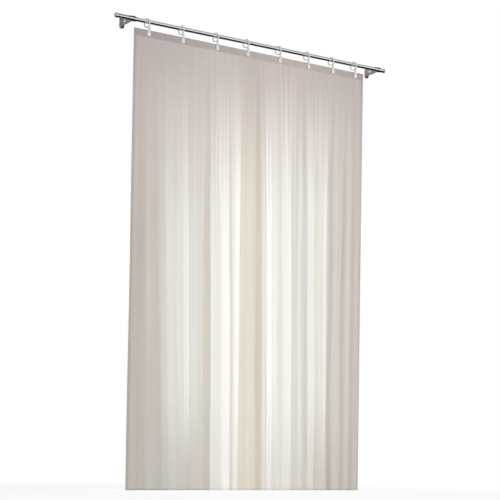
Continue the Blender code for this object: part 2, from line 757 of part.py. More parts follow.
def build_rings(carrier, ring_material, jaw_material, pin_material, spring_material):
    """Eight rings, each with its jaw, pin and spring, the jaw's origin on its pin."""
    ring = ring_mesh()
    jaw = front_jaw_mesh()
    pin = pin_mesh()
    leaf = spring_mesh()
    to_pin = Vector((0.0, PIN_Y, PIN_Z))
    jaw.transform(Matrix.Translation(-to_pin))
    for number, share in enumerate(RING_PLACE_SHARES, 1):
        along = CURTAIN_LEFT + CURTAIN_WIDTH * share
        runner = place_empty(f"runner_{number}", (along, 0.0, 0.0), carrier)
        place(f"ring_{number}", ring, ring_material, runner)
        place(f"front_jaw_{number}", jaw, jaw_material, runner, to_pin)
        place(f"pivot_pin_{number}", pin, pin_material, runner, to_pin)
        place(f"clip_spring_{number}", leaf, spring_material, runner)


def build():
    clear_scene()
    polished = chrome()
    build_rod(polished)
    build_brackets(bracket_metal(), polished, screw_steel())
    carrier = place_empty("curtain_swing", (0.0, ROD_Y, 0.0))
    build_cloth(carrier, voile(), heading_cloth())
    build_rings(carrier, ring_plastic(), jaw_plastic(), screw_steel(), spring_steel())


build()
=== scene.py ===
"""Looks of the fly screen curtain: voile in soft folds on clip rings, on a chrome rod in wall brackets.

Lengths are in metres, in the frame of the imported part: X along the rod, the front faces -Y, Z is up.
"""

import math
import random

import bmesh
import bpy
import numpy as np
from mathutils import Matrix, Vector


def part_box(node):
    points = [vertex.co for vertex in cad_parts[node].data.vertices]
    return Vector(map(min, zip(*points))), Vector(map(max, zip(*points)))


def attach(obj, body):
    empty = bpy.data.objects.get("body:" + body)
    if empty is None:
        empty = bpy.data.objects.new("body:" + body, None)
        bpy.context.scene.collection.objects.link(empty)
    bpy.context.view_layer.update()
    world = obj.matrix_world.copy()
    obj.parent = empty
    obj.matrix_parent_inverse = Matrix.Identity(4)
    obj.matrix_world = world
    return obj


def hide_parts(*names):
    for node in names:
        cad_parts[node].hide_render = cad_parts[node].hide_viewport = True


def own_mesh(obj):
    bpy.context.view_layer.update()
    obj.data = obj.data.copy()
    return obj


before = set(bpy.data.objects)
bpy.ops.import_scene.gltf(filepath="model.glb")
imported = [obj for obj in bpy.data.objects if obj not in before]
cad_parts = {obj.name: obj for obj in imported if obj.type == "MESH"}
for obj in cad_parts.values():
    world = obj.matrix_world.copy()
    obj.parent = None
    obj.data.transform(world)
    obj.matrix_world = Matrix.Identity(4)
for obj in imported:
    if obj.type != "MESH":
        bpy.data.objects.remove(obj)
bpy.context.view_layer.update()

# Camera
CAMERA_PLACE = Vector((-4.800, -6.815, -2.059))
CAMERA_YAW = math.radians(39.571)
CAMERA_PITCH = math.radians(4.977)
CAMERA_ROLL = math.radians(-0.963)
CAMERA_LENS = 126.41
CAMERA_SHIFT = 0.10

# Stage
FLOOR_BELOW_HEM = 0.020
FLOOR_SIZE = 60.0
FLOOR_TONE = (0.92, 0.92, 0.92)
FLOOR_WHITENING = 0.86
FLOOR_FADE = (1.2, 3.6)
WORLD_STRENGTH = 0.42
WHITE = (1.0, 1.0, 1.0)

# Cards that only gloss mirrors: name, plane, size, place and tone
CARDS = (
    ("ceiling_card", "XY", (30.0, 21.0), (8.0, 3.0, 4.0), 0.50),
    ("front_card", "XZ", (40.0, 10.6), (5.0, -10.0, 0.3), 0.92),
    ("front_floor_card", "XY", (40.0, 4.8), (5.0, -7.6, -2.20), 0.92),
    ("dark_floor_card", "XY", (12.0, 7.8), (2.0, -1.3, -2.20), 0.0),
    ("back_left_card", "XZ", (6.0, 5.0), (-3.5, 3.0, 1.5), 0.36),
)

# Small flags of the same kind, placed from the rod's axis at each bracket, and one over the rod's left end
BRACKET_FLAGS = (
    ("collar_flag", "XY", (0.042, 0.096), (0.024, -0.004, 0.032), 0.02),
    # The plate flag is painted shade: a dark sheet, seen only in gloss, that darkens the lower right of the
    # plate where the web's shadow falls
    ("plate_shade_flag", "YZ", (0.044, 0.026), (0.0155, 0.060, -0.026), 0.0),
)
CAP_FLAG = ("cap_flag", "XY", (0.088, 0.080), (-0.044, 0.004, 0.032), 0.08)

# Soft lamps: name, place and target from the curtain's middle, size, power and tint
LAMPS = (
    ("key_light", (3.4, -2.8, 0.9), (0.0, 0.0, 0.0), (2.6, 2.6), 80.0, WHITE),
    ("fill_light", (-3.4, -3.0, 0.6), (0.0, 0.0, 0.0), (3.0, 3.0), 34.0, WHITE),
    ("back_light", (0.03, 0.85, -0.05), (0.03, -0.15, -0.05), (0.75, 2.1), 7.0, (1.0, 0.985, 0.95)),
    ("side_light", (-3.35, -0.492, 1.543), (0.0, 0.008, 1.143), (0.6, 0.6), 14.0, WHITE),
)

# Sizes of the solid pieces, as the real pieces have them
GAP = 0.0003
CUT_OVERRUN = 0.001
JOINT_OVERLAP = 0.0005
ROD_RADIUS = 0.010
ROD_WALL = 0.0015
CAP_RADIUS = 0.012
CAP_LENGTH = 0.008
CAP_EDGE_RADIUS = 0.003
CAP_PLUG_LENGTH = 0.014
PLATE_WIDTH = 0.028
PLATE_HEIGHT = 0.070
PLATE_THICKNESS = 0.005
PLATE_EDGE_RADIUS = 0.0012
WEB_THICKNESS = 0.003
WEB_EDGE_RADIUS = 0.0004
WEB_ROOT_HALF_HEIGHT = 0.0225
WEB_WAIST_HALF_HEIGHT = 0.0175
WEB_EYE_HALF_HEIGHT = 0.0115
WEB_HOLE_RADIUS = 0.0065
WEB_HOLE_FROM_WALL = 0.026
EYE_WALL = 0.0014
BUSH_RADIUS = 0.0128
BUSH_LENGTH = 0.017
BUSH_EDGE_RADIUS = 0.0015
SPIGOT_WALL = 0.0012
SCREW_OFFSET = 0.0285
SCREW_SHANK_RADIUS = 0.0020
SCREW_HEAD_RADIUS = 0.0042
SCREW_HEAD_HEIGHT = 0.0026
SCREW_SLOT_LENGTH = 0.0046
SCREW_SLOT_WIDTH = 0.0011
SCREW_SLOT_DEPTH = 0.0012
GRUB_RADIUS = 0.0020

# Rings with clips
RING_INNER_RADIUS = 0.019
RING_STOCK = 0.005
RING_EDGE_RADIUS = 0.0019
RING_SEAT_ANGLE = math.radians(39)
RING_LOWER_ANGLE = math.radians(-122)
STEM_CRANK_DROP = 0.017
NECK_THICKNESS = 0.0047
NECK_CRANK_ABOVE_PIN = 0.0075
NECK_BOTTOM_ABOVE_TAPE = 0.0008
JAW_HEIGHT = 0.031
FRONT_JAW_HALF_WIDTH = 0.0105
FRONT_JAW_THICKNESS = 0.0024
FRONT_JAW_CROWN = 0.0016
FRONT_JAW_BELOW_PIN = 0.0034
REAR_JAW_HALF_WIDTH = 0.0095
REAR_JAW_NECK_HALF_WIDTH = 0.0030
REAR_JAW_THICKNESS = 0.0022
JAW_EDGE_RADIUS = 0.0005
PIN_RADIUS = 0.0010
PIN_ABOVE_TAPE = 0.0045
PIN_BEFORE_JAW_BACK = 0.0006
CHEEK_THICKNESS = 0.0018
CHEEK_START_ANGLE = math.radians(-60)
TAIL_THICKNESS = 0.0016
TAIL_BEFORE_PIN = 0.0036
TAIL_BOTTOM_ABOVE_PIN = 0.0020
TAIL_TOP_ABOVE_PIN = 0.0070

# Cloth
PANEL_THICKNESS = 0.0004
TAPE_THICKNESS = 0.0010
HEM_THICKNESS = 0.0006
SIDE_HEM_WIDTH = 0.015
FOLD_DEPTH = 0.030
FOLD_GROWTH_LENGTH = 0.45

# Pleats that stand forward: left edge and right edge as shares of the width, and depth.
# The first and last reach past the cloth's side edges.
PLEAT_SHARES = (
    (-0.008, 0.030, 0.50), (0.044, 0.060, 0.30), (0.069, 0.226, 0.80),
    (0.303, 0.446, 1.00), (0.519, 0.668, 0.90), (0.723, 0.840, 0.80),
    (0.862, 0.882, 0.45), (0.922, 0.945, 0.30), (0.965, 1.008, 0.50),
)
PLEAT_EDGE_SHARE = 0.016

# How far each place across the cloth drifts to the right by the hem
DRIFT_SHARES = (
    (0.000, 0.007), (0.012, 0.007), (0.069, 0.060), (0.226, 0.035), (0.303, 0.026),
    (0.395, 0.033), (0.446, 0.006), (0.495, 0.030), (0.519, 0.027), (0.668, 0.025),
    (0.723, 0.026), (0.840, 0.005), (0.988, -0.002), (1.000, -0.002),
)

# Small pleats between the main folds. Each keeps to its own slot, and about two in three stand forward.
PLEAT_COUNT = 52
PLEAT_DEPTHS = (0.0012, 0.0042)
PLEAT_HALF_WIDTHS = (0.008, 0.017)
PLEAT_PLACES = (0.15, 0.85)
PLEAT_SIDES = (-1, 1, 1)
PLEAT_WANDER = 0.006
PLEAT_WANDER_LENGTH = 1.3
PLEAT_STARTS = (0.02, 0.40)
PLEAT_GROWTH = 0.35
PLEAT_SEED = 11

# Gathers just below the tape, and the pull below each clip
GATHER_PITCH = 0.0135
GATHER_DEPTH = 0.0010
GATHER_FADE = 0.10
GATHER_WANDER = 2.0
GATHER_WANDER_LENGTH = 4 * GATHER_PITCH
PULL_DEPTH = 0.0030
PULL_HALF_WIDTH = 0.020
PULL_SPREAD = 0.10
PULL_FADE = 0.22

# Stitching
STITCH_PITCH = 0.0032
STITCH_LENGTH = 0.0023
STITCH_HALF_WIDTH = 0.00022
STITCH_HEIGHT = 0.00022
STITCH_INSET = 0.0025

# Counts of sides, steps and mesh lines
ROD_SIDES = 96
SLEEVE_SIDES = 72
RING_SIDES = 72
SCREW_SIDES = 36
SMALL_SIDES = 24
EDGE_STEPS = 5
BEVEL_STEPS = 4
CROWN_STEPS = 7
PANEL_COLUMNS = 661
PANEL_ROWS = 91
PANEL_ROW_GROWTH = 1.35
TAPE_COLUMNS = 151
TAPE_ROWS = 6
SIDE_HEM_COLUMNS = 7
BOTTOM_HEM_ROWS = 4
SHARP_ANGLE = math.radians(38)
BEVEL_ANGLE = math.radians(50)


def middle_x(name):
    low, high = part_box(name)
    return (low.x + high.x) / 2


# Places read from the frame
ROD_LOW, ROD_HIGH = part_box("rod")
PANEL_LOW, PANEL_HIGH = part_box("curtain_panel")
TAPE_LOW, TAPE_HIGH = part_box("heading_tape")
ROD_Y = (ROD_LOW.y + ROD_HIGH.y) / 2
CURTAIN_Y = TAPE_HIGH.y + GAP + PANEL_THICKNESS / 2
CURTAIN_LEFT = PANEL_LOW.x
CURTAIN_WIDTH = PANEL_HIGH.x - PANEL_LOW.x
CURTAIN_BOTTOM = PANEL_LOW.z
CURTAIN_TOP = PANEL_HIGH.z
CURTAIN_HEIGHT = CURTAIN_TOP - CURTAIN_BOTTOM
CURTAIN_MIDDLE = Vector((CURTAIN_LEFT + CURTAIN_WIDTH / 2, CURTAIN_Y, (CURTAIN_TOP + CURTAIN_BOTTOM) / 2))
TAPE_BOTTOM = TAPE_LOW.z
RING_COUNT = sum(name.startswith("ring_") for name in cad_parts)
RING_PLACES = [middle_x(f"ring_{number}") for number in range(1, RING_COUNT + 1)]
BRACKET_PLACES = {side: middle_x(f"bracket_{side}") for side in ("left", "right")}

# Offsets from the cloth's middle surface, and edges of its hems
PANEL_FRONT = -PANEL_THICKNESS / 2
TAPE_BACK = PANEL_FRONT - GAP
TAPE_FRONT = TAPE_BACK - TAPE_THICKNESS
HEM_FRONT = PANEL_THICKNESS / 2 + GAP
HEM_BACK = HEM_FRONT + HEM_THICKNESS
HEM_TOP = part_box("bottom_hem")[1].z
HEM_SHARE = SIDE_HEM_WIDTH / CURTAIN_WIDTH

# Derived places on rings, clips and bushes, measured from the rod's axis
RING_OUTER_RADIUS = RING_INNER_RADIUS + RING_STOCK
RING_OFFSET = RING_INNER_RADIUS - ROD_RADIUS - GAP
RING_CENTRE_Y = RING_OFFSET * math.cos(RING_SEAT_ANGLE)
RING_CENTRE_Z = -RING_OFFSET * math.sin(RING_SEAT_ANGLE)
FRONT_JAW_BACK = TAPE_LOW.y - ROD_Y - GAP
FRONT_JAW_FRONT = FRONT_JAW_BACK - FRONT_JAW_THICKNESS
REAR_JAW_FRONT = CURTAIN_Y - ROD_Y + PANEL_THICKNESS / 2 + GAP
REAR_JAW_BACK = REAR_JAW_FRONT + REAR_JAW_THICKNESS
PIN_Y = FRONT_JAW_BACK - PIN_BEFORE_JAW_BACK
PIN_Z = CURTAIN_TOP + PIN_ABOVE_TAPE
PIN_BORE = PIN_RADIUS + GAP
KNUCKLE_RADIUS = REAR_JAW_FRONT - GAP - PIN_Y
CHEEK_INNER = RING_STOCK / 2 + GAP
CHEEK_OUTER = CHEEK_INNER + CHEEK_THICKNESS
NECK_BACK = REAR_JAW_BACK + GAP
NECK_FRONT = NECK_BACK - NECK_THICKNESS
TAIL_BACK = PIN_Y - TAIL_BEFORE_PIN
TAIL_FRONT = TAIL_BACK - TAIL_THICKNESS
BUSH_BORE = ROD_RADIUS + GAP
SPIGOT_RADIUS = BUSH_BORE + SPIGOT_WALL
EYE_BORE = SPIGOT_RADIUS + GAP
EYE_RADIUS = EYE_BORE + EYE_WALL
BUSH_START = WEB_THICKNESS / 2 + GAP


# Objects and shader nodes


def new_object(name, data, place=(0.0, 0.0, 0.0)):
    obj = bpy.data.objects.new(name, data)
    obj.location = place
    bpy.context.scene.collection.objects.link(obj)
    return obj


def cleared_tree(owner):
    """The empty node tree of a material or a world."""
    owner.use_nodes = True
    owner.node_tree.nodes.clear()
    return owner.node_tree


def new_material(name):
    material = bpy.data.materials.new(name)
    return material, cleared_tree(material)


def finished(material, shader):
    """The material with this shader as its surface."""
    node(material.node_tree, "OutputMaterial", inputs={"Surface": shader})
    return material


def node(tree, kind, settings=None, inputs=None):
    """Make a shader node with its settings, and its inputs from values or sockets. Return its outputs."""
    made = tree.nodes.new(f"ShaderNode{kind}")
    for name, value in (settings or {}).items():
        setattr(made, name, value)
    for name, value in (inputs or {}).items():
        if isinstance(value, bpy.types.NodeSocket):
            tree.links.new(value, made.inputs[name])
        else:
            made.inputs[name].default_value = value
    return made.outputs


def maths(tree, operation, *values):
    """A Math node's value, from numbers and sockets."""
    return node(tree, "Math", {"operation": operation}, dict(enumerate(values)))[0]


def between(tree, factor, low, high):
    """A value from low to high as factor goes from 0 to 1."""
    inputs = {"Value": factor, "To Min": low, "To Max": high}
    return node(tree, "MapRange", inputs=inputs)["Result"]


def eased(tree, value, start, end):
    """A smooth rise from 0 at start to 1 at end."""
    inputs = {"Value": value, "From Min": start, "From Max": end}
    return node(tree, "MapRange", {"interpolation_type": "SMOOTHSTEP"}, inputs)["Result"]


def mixed(tree, factor, first, second):
    """A shader that goes from first to second as factor goes from 0 to 1."""
    return node(tree, "MixShader", inputs={0: factor, 1: first, 2: second})[0]


def glow(tree, kind, colour, strength):
    """A Background or an Emission of one colour."""
    return node(tree, kind, inputs={"Color": (*colour, 1.0), "Strength": strength})[0]


# Camera, world, floor, cards and lamps


def make_camera():
    """The photograph's view: from the left and from hem height, looking a little up."""
    data = bpy.data.cameras.new("camera")
    data.lens = CAMERA_LENS
    data.shift_y = CAMERA_SHIFT
    camera = new_object("camera", data)
    turn = Matrix.Rotation(-CAMERA_YAW, 4, "Z") @ Matrix.Rotation(math.pi / 2 + CAMERA_PITCH, 4, "X")
    turn = turn @ Matrix.Rotation(-CAMERA_ROLL, 4, "Z")
    camera.matrix_world = Matrix.Translation(CAMERA_PLACE) @ turn
    bpy.context.scene.camera = camera


def make_world():
    """Even light from all round. What the camera, and gloss or glass, see of it is plain white."""
    world = bpy.data.worlds.new("studio")
    bpy.context.scene.world = world
    tree = cleared_tree(world)
    rays = node(tree, "LightPath")
    seen = maths(tree, "MAXIMUM", rays["Is Camera Ray"], rays["Is Glossy Ray"])
    seen = maths(tree, "MAXIMUM", seen, rays["Is Transmission Ray"])
    light = glow(tree, "Background", WHITE, WORLD_STRENGTH)
    white = glow(tree, "Background", WHITE, 1.0)
    node(tree, "OutputWorld", inputs={"Surface": mixed(tree, seen, light, white)})


def floor_material():
    """A pale matt floor with the object's shadow on it, which the camera sees turn white further off."""
    material, tree = new_material("floor")
    camera_ray = node(tree, "LightPath")["Is Camera Ray"]
    place = node(tree, "TexCoord")["Object"]
    away = node(tree, "VectorMath", {"operation": "LENGTH"}, {0: place})["Value"]
    whitening = between(tree, eased(tree, away, *FLOOR_FADE), FLOOR_WHITENING, 1.0)
    seen = maths(tree, "MULTIPLY", camera_ray, whitening)
    matt = node(tree, "BsdfDiffuse", inputs={"Color": (*FLOOR_TONE, 1.0)})[0]
    return finished(material, mixed(tree, seen, matt, glow(tree, "Emission", WHITE, 1.0)))


def stage_plane(name, plane, size, place, material):
    """A flat sheet of the stage in the XY, XZ or YZ plane, with its middle at its place."""
    corners = []
    for signs in ((-1, -1), (1, -1), (1, 1), (-1, 1)):
        reach = {axis: sign * length / 2 for axis, sign, length in zip(plane, signs, size)}
        corners.append([reach.get(axis, 0.0) for axis in "XYZ"])
    mesh = bpy.data.meshes.new(name)
    mesh.from_pydata(corners, [], [(0, 1, 2, 3)])
    mesh.materials.append(material)
    obj = new_object(name, mesh, place)
    return obj


def make_floor():
    place = (CURTAIN_MIDDLE.x, CURTAIN_Y, CURTAIN_BOTTOM - FLOOR_BELOW_HEM)
    stage_plane("floor", "XY", (FLOOR_SIZE, FLOOR_SIZE), place, floor_material())


def make_cards():
    """Light, grey and dark cards round the set, which only the pieces' gloss mirrors."""
    flags = [(f"_{side}", x, flag) for side, x in BRACKET_PLACES.items() for flag in BRACKET_FLAGS]
    cards = list(CARDS)
    for ending, x, (name, plane, size, shift, tone) in flags + [("", 0.0, CAP_FLAG)]:
        cards.append((name + ending, plane, size, Vector((x, ROD_Y, 0.0)) + Vector(shift), tone))
    for name, plane, size, place, tone in cards:
        material, tree = new_material(name)
        finished(material, glow(tree, "Emission", [tone] * 3, 1.0))
        card = stage_plane(name, plane, size, place, material)
        for ray in ("camera", "diffuse", "transmission", "volume_scatter", "shadow"):
            setattr(card, f"visible_{ray}", False)


def make_lamps():
    """Large soft lamps, which light the set but aren't mirrored in it."""
    for name, place, target, size, power, tint in LAMPS:
        data = bpy.data.lights.new(name, "AREA")
        data.shape = "RECTANGLE"
        data.size, data.size_y = size
        data.energy = power
        data.color = tint
        lamp = new_object(name, data, CURTAIN_MIDDLE + Vector(place))
        lamp.rotation_euler = (Vector(target) - Vector(place)).to_track_quat("-Z", "Y").to_euler()
        lamp.visible_camera = False
        lamp.visible_glossy = False


# Mesh helpers


def finish_mesh(bm, name):
    """Turn a closed bmesh into a mesh whose faces point outwards."""
    bmesh.ops.recalc_face_normals(bm, faces=bm.faces)
    mesh = bpy.data.meshes.new(name)
    bm.to_mesh(mesh)
    bm.free()
    mesh.shade_smooth()
    mesh.set_sharp_from_angle(angle=SHARP_ANGLE)
    return mesh


def arc(centre_u, centre_v, radius, start, end, steps):
    """Points on an arc, both ends included."""
    turns = [start + (end - start) * step / steps for step in range(steps + 1)]
    return [(centre_u + radius * math.cos(turn), centre_v + radius * math.sin(turn)) for turn in turns]


def circle(centre_u, centre_v, radius, sides):
    return arc(centre_u, centre_v, radius, 0.0, 2 * math.pi, sides)[:-1]


def lofted(outlines):
    """A closed solid through outlines of (X, Y, Z) points that match one to one."""
    bm = bmesh.new()
    loops = [[bm.verts.new(spot) for spot in outline] for outline in outlines]
    for near, far in zip(loops, loops[1:]):
        for index, corner in enumerate(near):
            bm.faces.new((near[index - 1], corner, far[index], far[index - 1]))
    bm.faces.new(loops[0])
    bm.faces.new(loops[-1])
    return finish_mesh(bm, "lofted")


def in_plane(u, v, along, axis):
    """A point from its two coordinates square to an axis, and its place along it."""
    return {"X": (along, u, v), "Y": (u, along, v), "Z": (u, v, along)}[axis]


def prism(outline, start, end, axis="X"):
    """A closed solid: an outline in the plane square to axis, carried from start to end along it."""
    return lofted([[in_plane(u, v, along, axis) for u, v in outline] for along in (start, end)])


def turned(profile, sides, axis="X", direction=1):
    """A solid of revolution about an axis, from (along, radius), with along counted in a direction."""
    bm = bmesh.new()
    rings = []
    for along, radius in profile:
        count = sides if radius > 0 else 1
        turns = [2 * math.pi * side / sides for side in range(count)]
        place = direction * along
        spots = [in_plane(radius * math.cos(t), radius * math.sin(t), place, axis) for t in turns]
        rings.append([bm.verts.new(spot) for spot in spots])
    pairs = list(zip(rings, rings[1:]))
    if profile[0][1] > 0:
        pairs.append((rings[-1], rings[0]))
    for lower, upper in pairs:
        for side in range(sides):
            after = (side + 1) % sides
            corners = [lower[side % len(lower)], lower[after % len(lower)]]
            corners += [upper[after % len(upper)], upper[side % len(upper)]]
            bm.faces.new(list(dict.fromkeys(corners)))
    return finish_mesh(bm, "turned")


def bore(y, z, radius, half, sides=SMALL_SIDES):
    """A cutter along X for a round hole through what lies within half of the middle."""
    return prism(circle(y, z, radius, sides), -half - CUT_OVERRUN, half + CUT_OVERRUN)


def combined(base, joins=(), cuts=(), bevel=None):
    """One mesh: the base cut by each of cuts, its sharp edges rounded, then joined with joins."""
    work = new_object("helper", base)
    helpers = [work]

    def add_boolean(mesh, operation):
        helpers.append(new_object("helper", mesh))
        modifier = work.modifiers.new(operation.lower(), "BOOLEAN")
        modifier.operation = operation
        modifier.solver = "EXACT"
        modifier.object = helpers[-1]

    for mesh in cuts:
        add_boolean(mesh, "DIFFERENCE")
    if bevel is not None:
        modifier = work.modifiers.new("edges", "BEVEL")
        modifier.width = bevel
        modifier.segments = BEVEL_STEPS
        modifier.limit_method = "ANGLE"
        modifier.angle_limit = BEVEL_ANGLE
    for mesh in joins:
        add_boolean(mesh, "UNION")
    bpy.context.view_layer.update()
    evaluated = work.evaluated_get(bpy.context.evaluated_depsgraph_get())
    result = bpy.data.meshes.new_from_object(evaluated)
    for obj in helpers:
        bpy.data.objects.remove(obj, do_unlink=True)
    result.shade_smooth()
    result.set_sharp_from_angle(angle=SHARP_ANGLE)
    return result


def add_piece(name, mesh, finish, body, replaced=(), place=(0.0, 0.0, 0.0)):
    """A piece of the object: its finish, its body, and the solids that it stands for."""
    material, slot = finish
    obj = new_object(name, mesh, place)
    if not mesh.materials:
        mesh.materials.append(material)
    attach(obj, body)
    if replaced:
        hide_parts(*replaced)
    return obj


# Materials

# Noises inside the solid pieces: scale and detail, with the depths of the finest
METAL_CLOUDS = (35.0, 3.0)
METAL_LINES = (900.0, 2.0)
METAL_LINE_DEPTH = 0.00005
PLASTIC_CLOUDS = (90.0, 4.0)
PLASTIC_SKIN = (1600.0, 2.0)
PLASTIC_SKIN_BUMP = (0.08, 0.0001)
THREAD_TWIST = (2200.0, 1.0)

# Metals: dark and light tone, roughness, stretch of the drawn or brushed lines, and their strength
METALS = {
    "chrome": (((0.76, 0.76, 0.75), (0.83, 0.83, 0.82)), (0.01, 0.03), (0.02, 1.0, 1.0), 0.01),
    "bracket_metal": (((0.54, 0.54, 0.51), (0.66, 0.65, 0.61)), (0.20, 0.32), (1.0, 0.05, 1.0), 0.10),
    "screw_steel": (((0.50, 0.50, 0.48), (0.62, 0.62, 0.60)), (0.22, 0.36), (1.0, 1.0, 1.0), 0.05),
}

# Plastics: dark and light tone, and roughness
PLASTICS = {
    "ring_plastic": (((0.74, 0.72, 0.74), (0.82, 0.81, 0.82)), (0.20, 0.32)),
    "jaw_plastic": (((0.79, 0.80, 0.77), (0.86, 0.86, 0.83)), (0.25, 0.38)),
}
PLASTIC_BODY = {
    "Subsurface Weight": 0.3,
    "Subsurface Radius": (0.004, 0.004, 0.004),
    "Subsurface Scale": 1.0,
    "Specular IOR Level": 0.55,
}

# Voiles: the share of light let through, and the share of clear holes
VOILES = {"voile": (0.48, 0.06), "hem": (0.60, 0.75)}
CLOTH_GLOSS = {"Roughness": 0.85, "Specular IOR Level": 0.2, "Sheen Weight": 0.10, "Sheen Roughness": 0.5}
THREAD_TONES = ((0.60, 0.57, 0.54), (0.70, 0.67, 0.64))
THREAD_ROUGHNESS = 0.7


def principled(material, inputs):
    """The material with a Principled shader of these inputs as its surface."""
    return finished(material, node(material.node_tree, "BsdfPrincipled", inputs=inputs)[0])


def noise(tree, place, stretch, scale, detail):
    mapping = node(tree, "Mapping", inputs={"Vector": place, "Scale": stretch})
    inputs = {"Vector": mapping[0], "Scale": scale, "Detail": detail}
    return node(tree, "TexNoise", inputs=inputs)["Fac"]


def local_noise(tree, scale, detail, stretch=(1.0, 1.0, 1.0)):
    """Noise in the piece's own coordinates, so that it moves with the piece."""
    return noise(tree, node(tree, "TexCoord")["Object"], stretch, scale, detail)


def tint_between(tree, factor, first, second):
    """A colour from first to second as factor goes from 0 to 1."""
    ends = [tint if isinstance(tint, bpy.types.NodeSocket) else (*tint, 1.0) for tint in (first, second)]
    return node(tree, "Mix", {"data_type": "RGBA"}, {0: factor, 6: ends[0], 7: ends[1]})[2]


def scaled(tree, colour, factor):
    return node(tree, "VectorMath", {"operation": "SCALE"}, {0: colour, "Scale": factor})[0]


def bump(tree, height, strength, distance):
    inputs = {"Height": height, "Strength": strength, "Distance": distance}
    return node(tree, "Bump", inputs=inputs)[0]


def solid_material(name, tones, roughness, clouds, skin, relief, body):
    """A tone and a gloss that vary a little in clouds, and fine lines or a fine skin."""
    material, tree = new_material(name)
    clouds = local_noise(tree, *clouds)
    return principled(material, {
        "Base Color": tint_between(tree, clouds, *tones),
        "Roughness": between(tree, clouds, *roughness),
        "Normal": bump(tree, local_noise(tree, *skin), *relief),
        **body,
    })


# Tones of the cloth
TONES = {
    "clay": (0.555, 0.500, 0.445),
    "fawn": (0.600, 0.550, 0.490),
    "taupe": (0.655, 0.610, 0.550),
    "khaki": (0.700, 0.645, 0.545),
    "sand": (0.755, 0.705, 0.600),
    "stone": (0.720, 0.690, 0.635),
    "haze": (0.745, 0.735, 0.695),
    "mist": (0.785, 0.775, 0.740),
    "cream": (0.810, 0.780, 0.710),
    "pearl": (0.865, 0.850, 0.815),
    "white": (0.950, 0.945, 0.925),
}

# Bands across the cloth: where each starts, its tone, and how much of it is lost at the hem. The bands are
# partly the cloth's own tone and partly painted light and shade: light bands where pleats face the light,
# dark bands on shaded pleat flanks and where layered cloth lets less light through.
TONE_AND_SHADE_BANDS = (
    (0.000, "clay", 0.2), (0.050, "taupe", 0.7), (0.062, "fawn", 0.8), (0.082, "taupe", 0.9),
    (0.094, "stone", 0.8), (0.120, "cream", 0.8), (0.134, "mist", 0.7), (0.171, "cream", 0.8),
    (0.193, "pearl", 0.9), (0.208, "white", 0.9), (0.223, "haze", 0.8), (0.272, "stone", 0.7),
    (0.292, "taupe", 0.5), (0.309, "pearl", 0.2), (0.339, "mist", 0.2), (0.344, "pearl", 0.1),
    (0.356, "white", 0.1), (0.385, "stone", 0.1), (0.398, "pearl", 0.1), (0.414, "white", 0.3),
    (0.449, "sand", 0.2), (0.502, "khaki", 0.1), (0.529, "cream", 0.3), (0.541, "stone", 0.3),
    (0.548, "white", 0.4), (0.572, "pearl", 0.5), (0.592, "cream", 0.3), (0.616, "pearl", 0.3),
    (0.649, "white", 0.5), (0.658, "pearl", 0.5), (0.664, "stone", 0.3), (0.702, "mist", 0.4),
    (0.728, "stone", 0.4), (0.736, "pearl", 0.5), (0.765, "cream", 0.7), (0.812, "pearl", 0.8),
    (0.832, "taupe", 0.3), (0.856, "stone", 0.9), (0.874, "taupe", 0.4), (0.880, "taupe", 0.5),
    (0.918, "taupe", 0.6), (0.974, "fawn", 0.1),
)
TONE_EDGE_SHARE = 0.0025
TONE_WANDER_SHARE = 0.003
BANDS_PER_RAMP = 13
FADE_IN_START_SHARE = 0.015
FADE_IN_END_SHARES = (0.54, 0.30)
FADE_OUT_START_SHARES = (0.52, 0.74)
EDGE_STRIP_SHARES = (0.045, 0.085)
HEM_TONES = (
    (0.00, (0.550, 0.540, 0.505)), (0.25, (0.580, 0.550, 0.500)), (1.00, (0.585, 0.545, 0.485)),
)
FADE_IN_SPREAD = (0.1, 1.9)
CALM_SHARES = (0.08, 0.42)
STREAKS_AT_TOP = (0.83, 1.18)
STREAKS_BELOW = (0.955, 1.040)

# Tones at the top of the cloth, by share of its width, and how they lighten down the drop
TOP_TONES = (
    (0.00, (0.555, 0.490, 0.475)), (0.20, (0.575, 0.515, 0.485)), (0.42, (0.610, 0.545, 0.515)),
    (0.50, (0.555, 0.490, 0.445)), (0.58, (0.615, 0.545, 0.515)), (0.72, (0.595, 0.525, 0.490)),
    (1.00, (0.560, 0.495, 0.475)),
)
TOP_LIGHTENING = 1.11
TOP_LIGHTENING_SHARES = (0.03, 0.22)

# Weave: its pitch, the scale of a wave texture with one wave a unit, and strength and depth of its bump
WEAVE_PITCH = 0.0011
WEAVE_WAVE_UNIT = 2 * math.pi / 20
VOILE_WEAVE = (0.10, 0.0002)
TAPE_WEAVE = (0.25, 0.0003)

# Noises over the cloth: cells across, cells down and detail, and what each spreads over
WANDER_NOISE = (30.0, 4.0, 2.0)
FADE_NOISE = (85.0, 0.0, 1.0)
STREAK_NOISE = (90.0, 1.4, 2.0)
WARMTH_NOISE = (90.0, 1.0, 1.0)
FINE_NOISES = ((420.0, 9.0, 3.0), (5.0, 5.0, 2.0))
FINE_SHADES = (0.97, 1.03)
# Painted light and shade of the small pleats: lighter on their crests, darker in their hollows
PLEAT_PAINTED_SHADES = (0.95, 1.05)
COOL_TINT = (0.985, 0.995, 1.030)
WARM_TINT = (1.015, 1.005, 0.970)
PATCH_NOISE = (26.0, 8.0, 3.0)
PATCH_SHADES = (0.90, 1.10)


def ramp(tree, value, stops):
    """A colour ramp's outputs, from places and colours with alpha."""
    outputs = node(tree, "ValToRGB", inputs={"Fac": value})
    elements = outputs[0].node.color_ramp.elements
    while len(elements) < len(stops):
        elements.new(0.5)
    for element, (place, colour) in zip(elements, stops):
        element.position = place
        element.color = colour
    return outputs


def band_ramp(tree, share, bands, end):
    """A ramp through neighbouring bands, level inside each and blended at their edges."""
    stops = []
    for (start, tone, loss), stop in zip(bands, [band[0] for band in bands[1:]] + [end]):
        stops.append((start + TONE_EDGE_SHARE, (*TONES[tone], loss)))
        stops.append((stop - TONE_EDGE_SHARE, (*TONES[tone], loss)))
    return ramp(tree, share, stops)[:2]


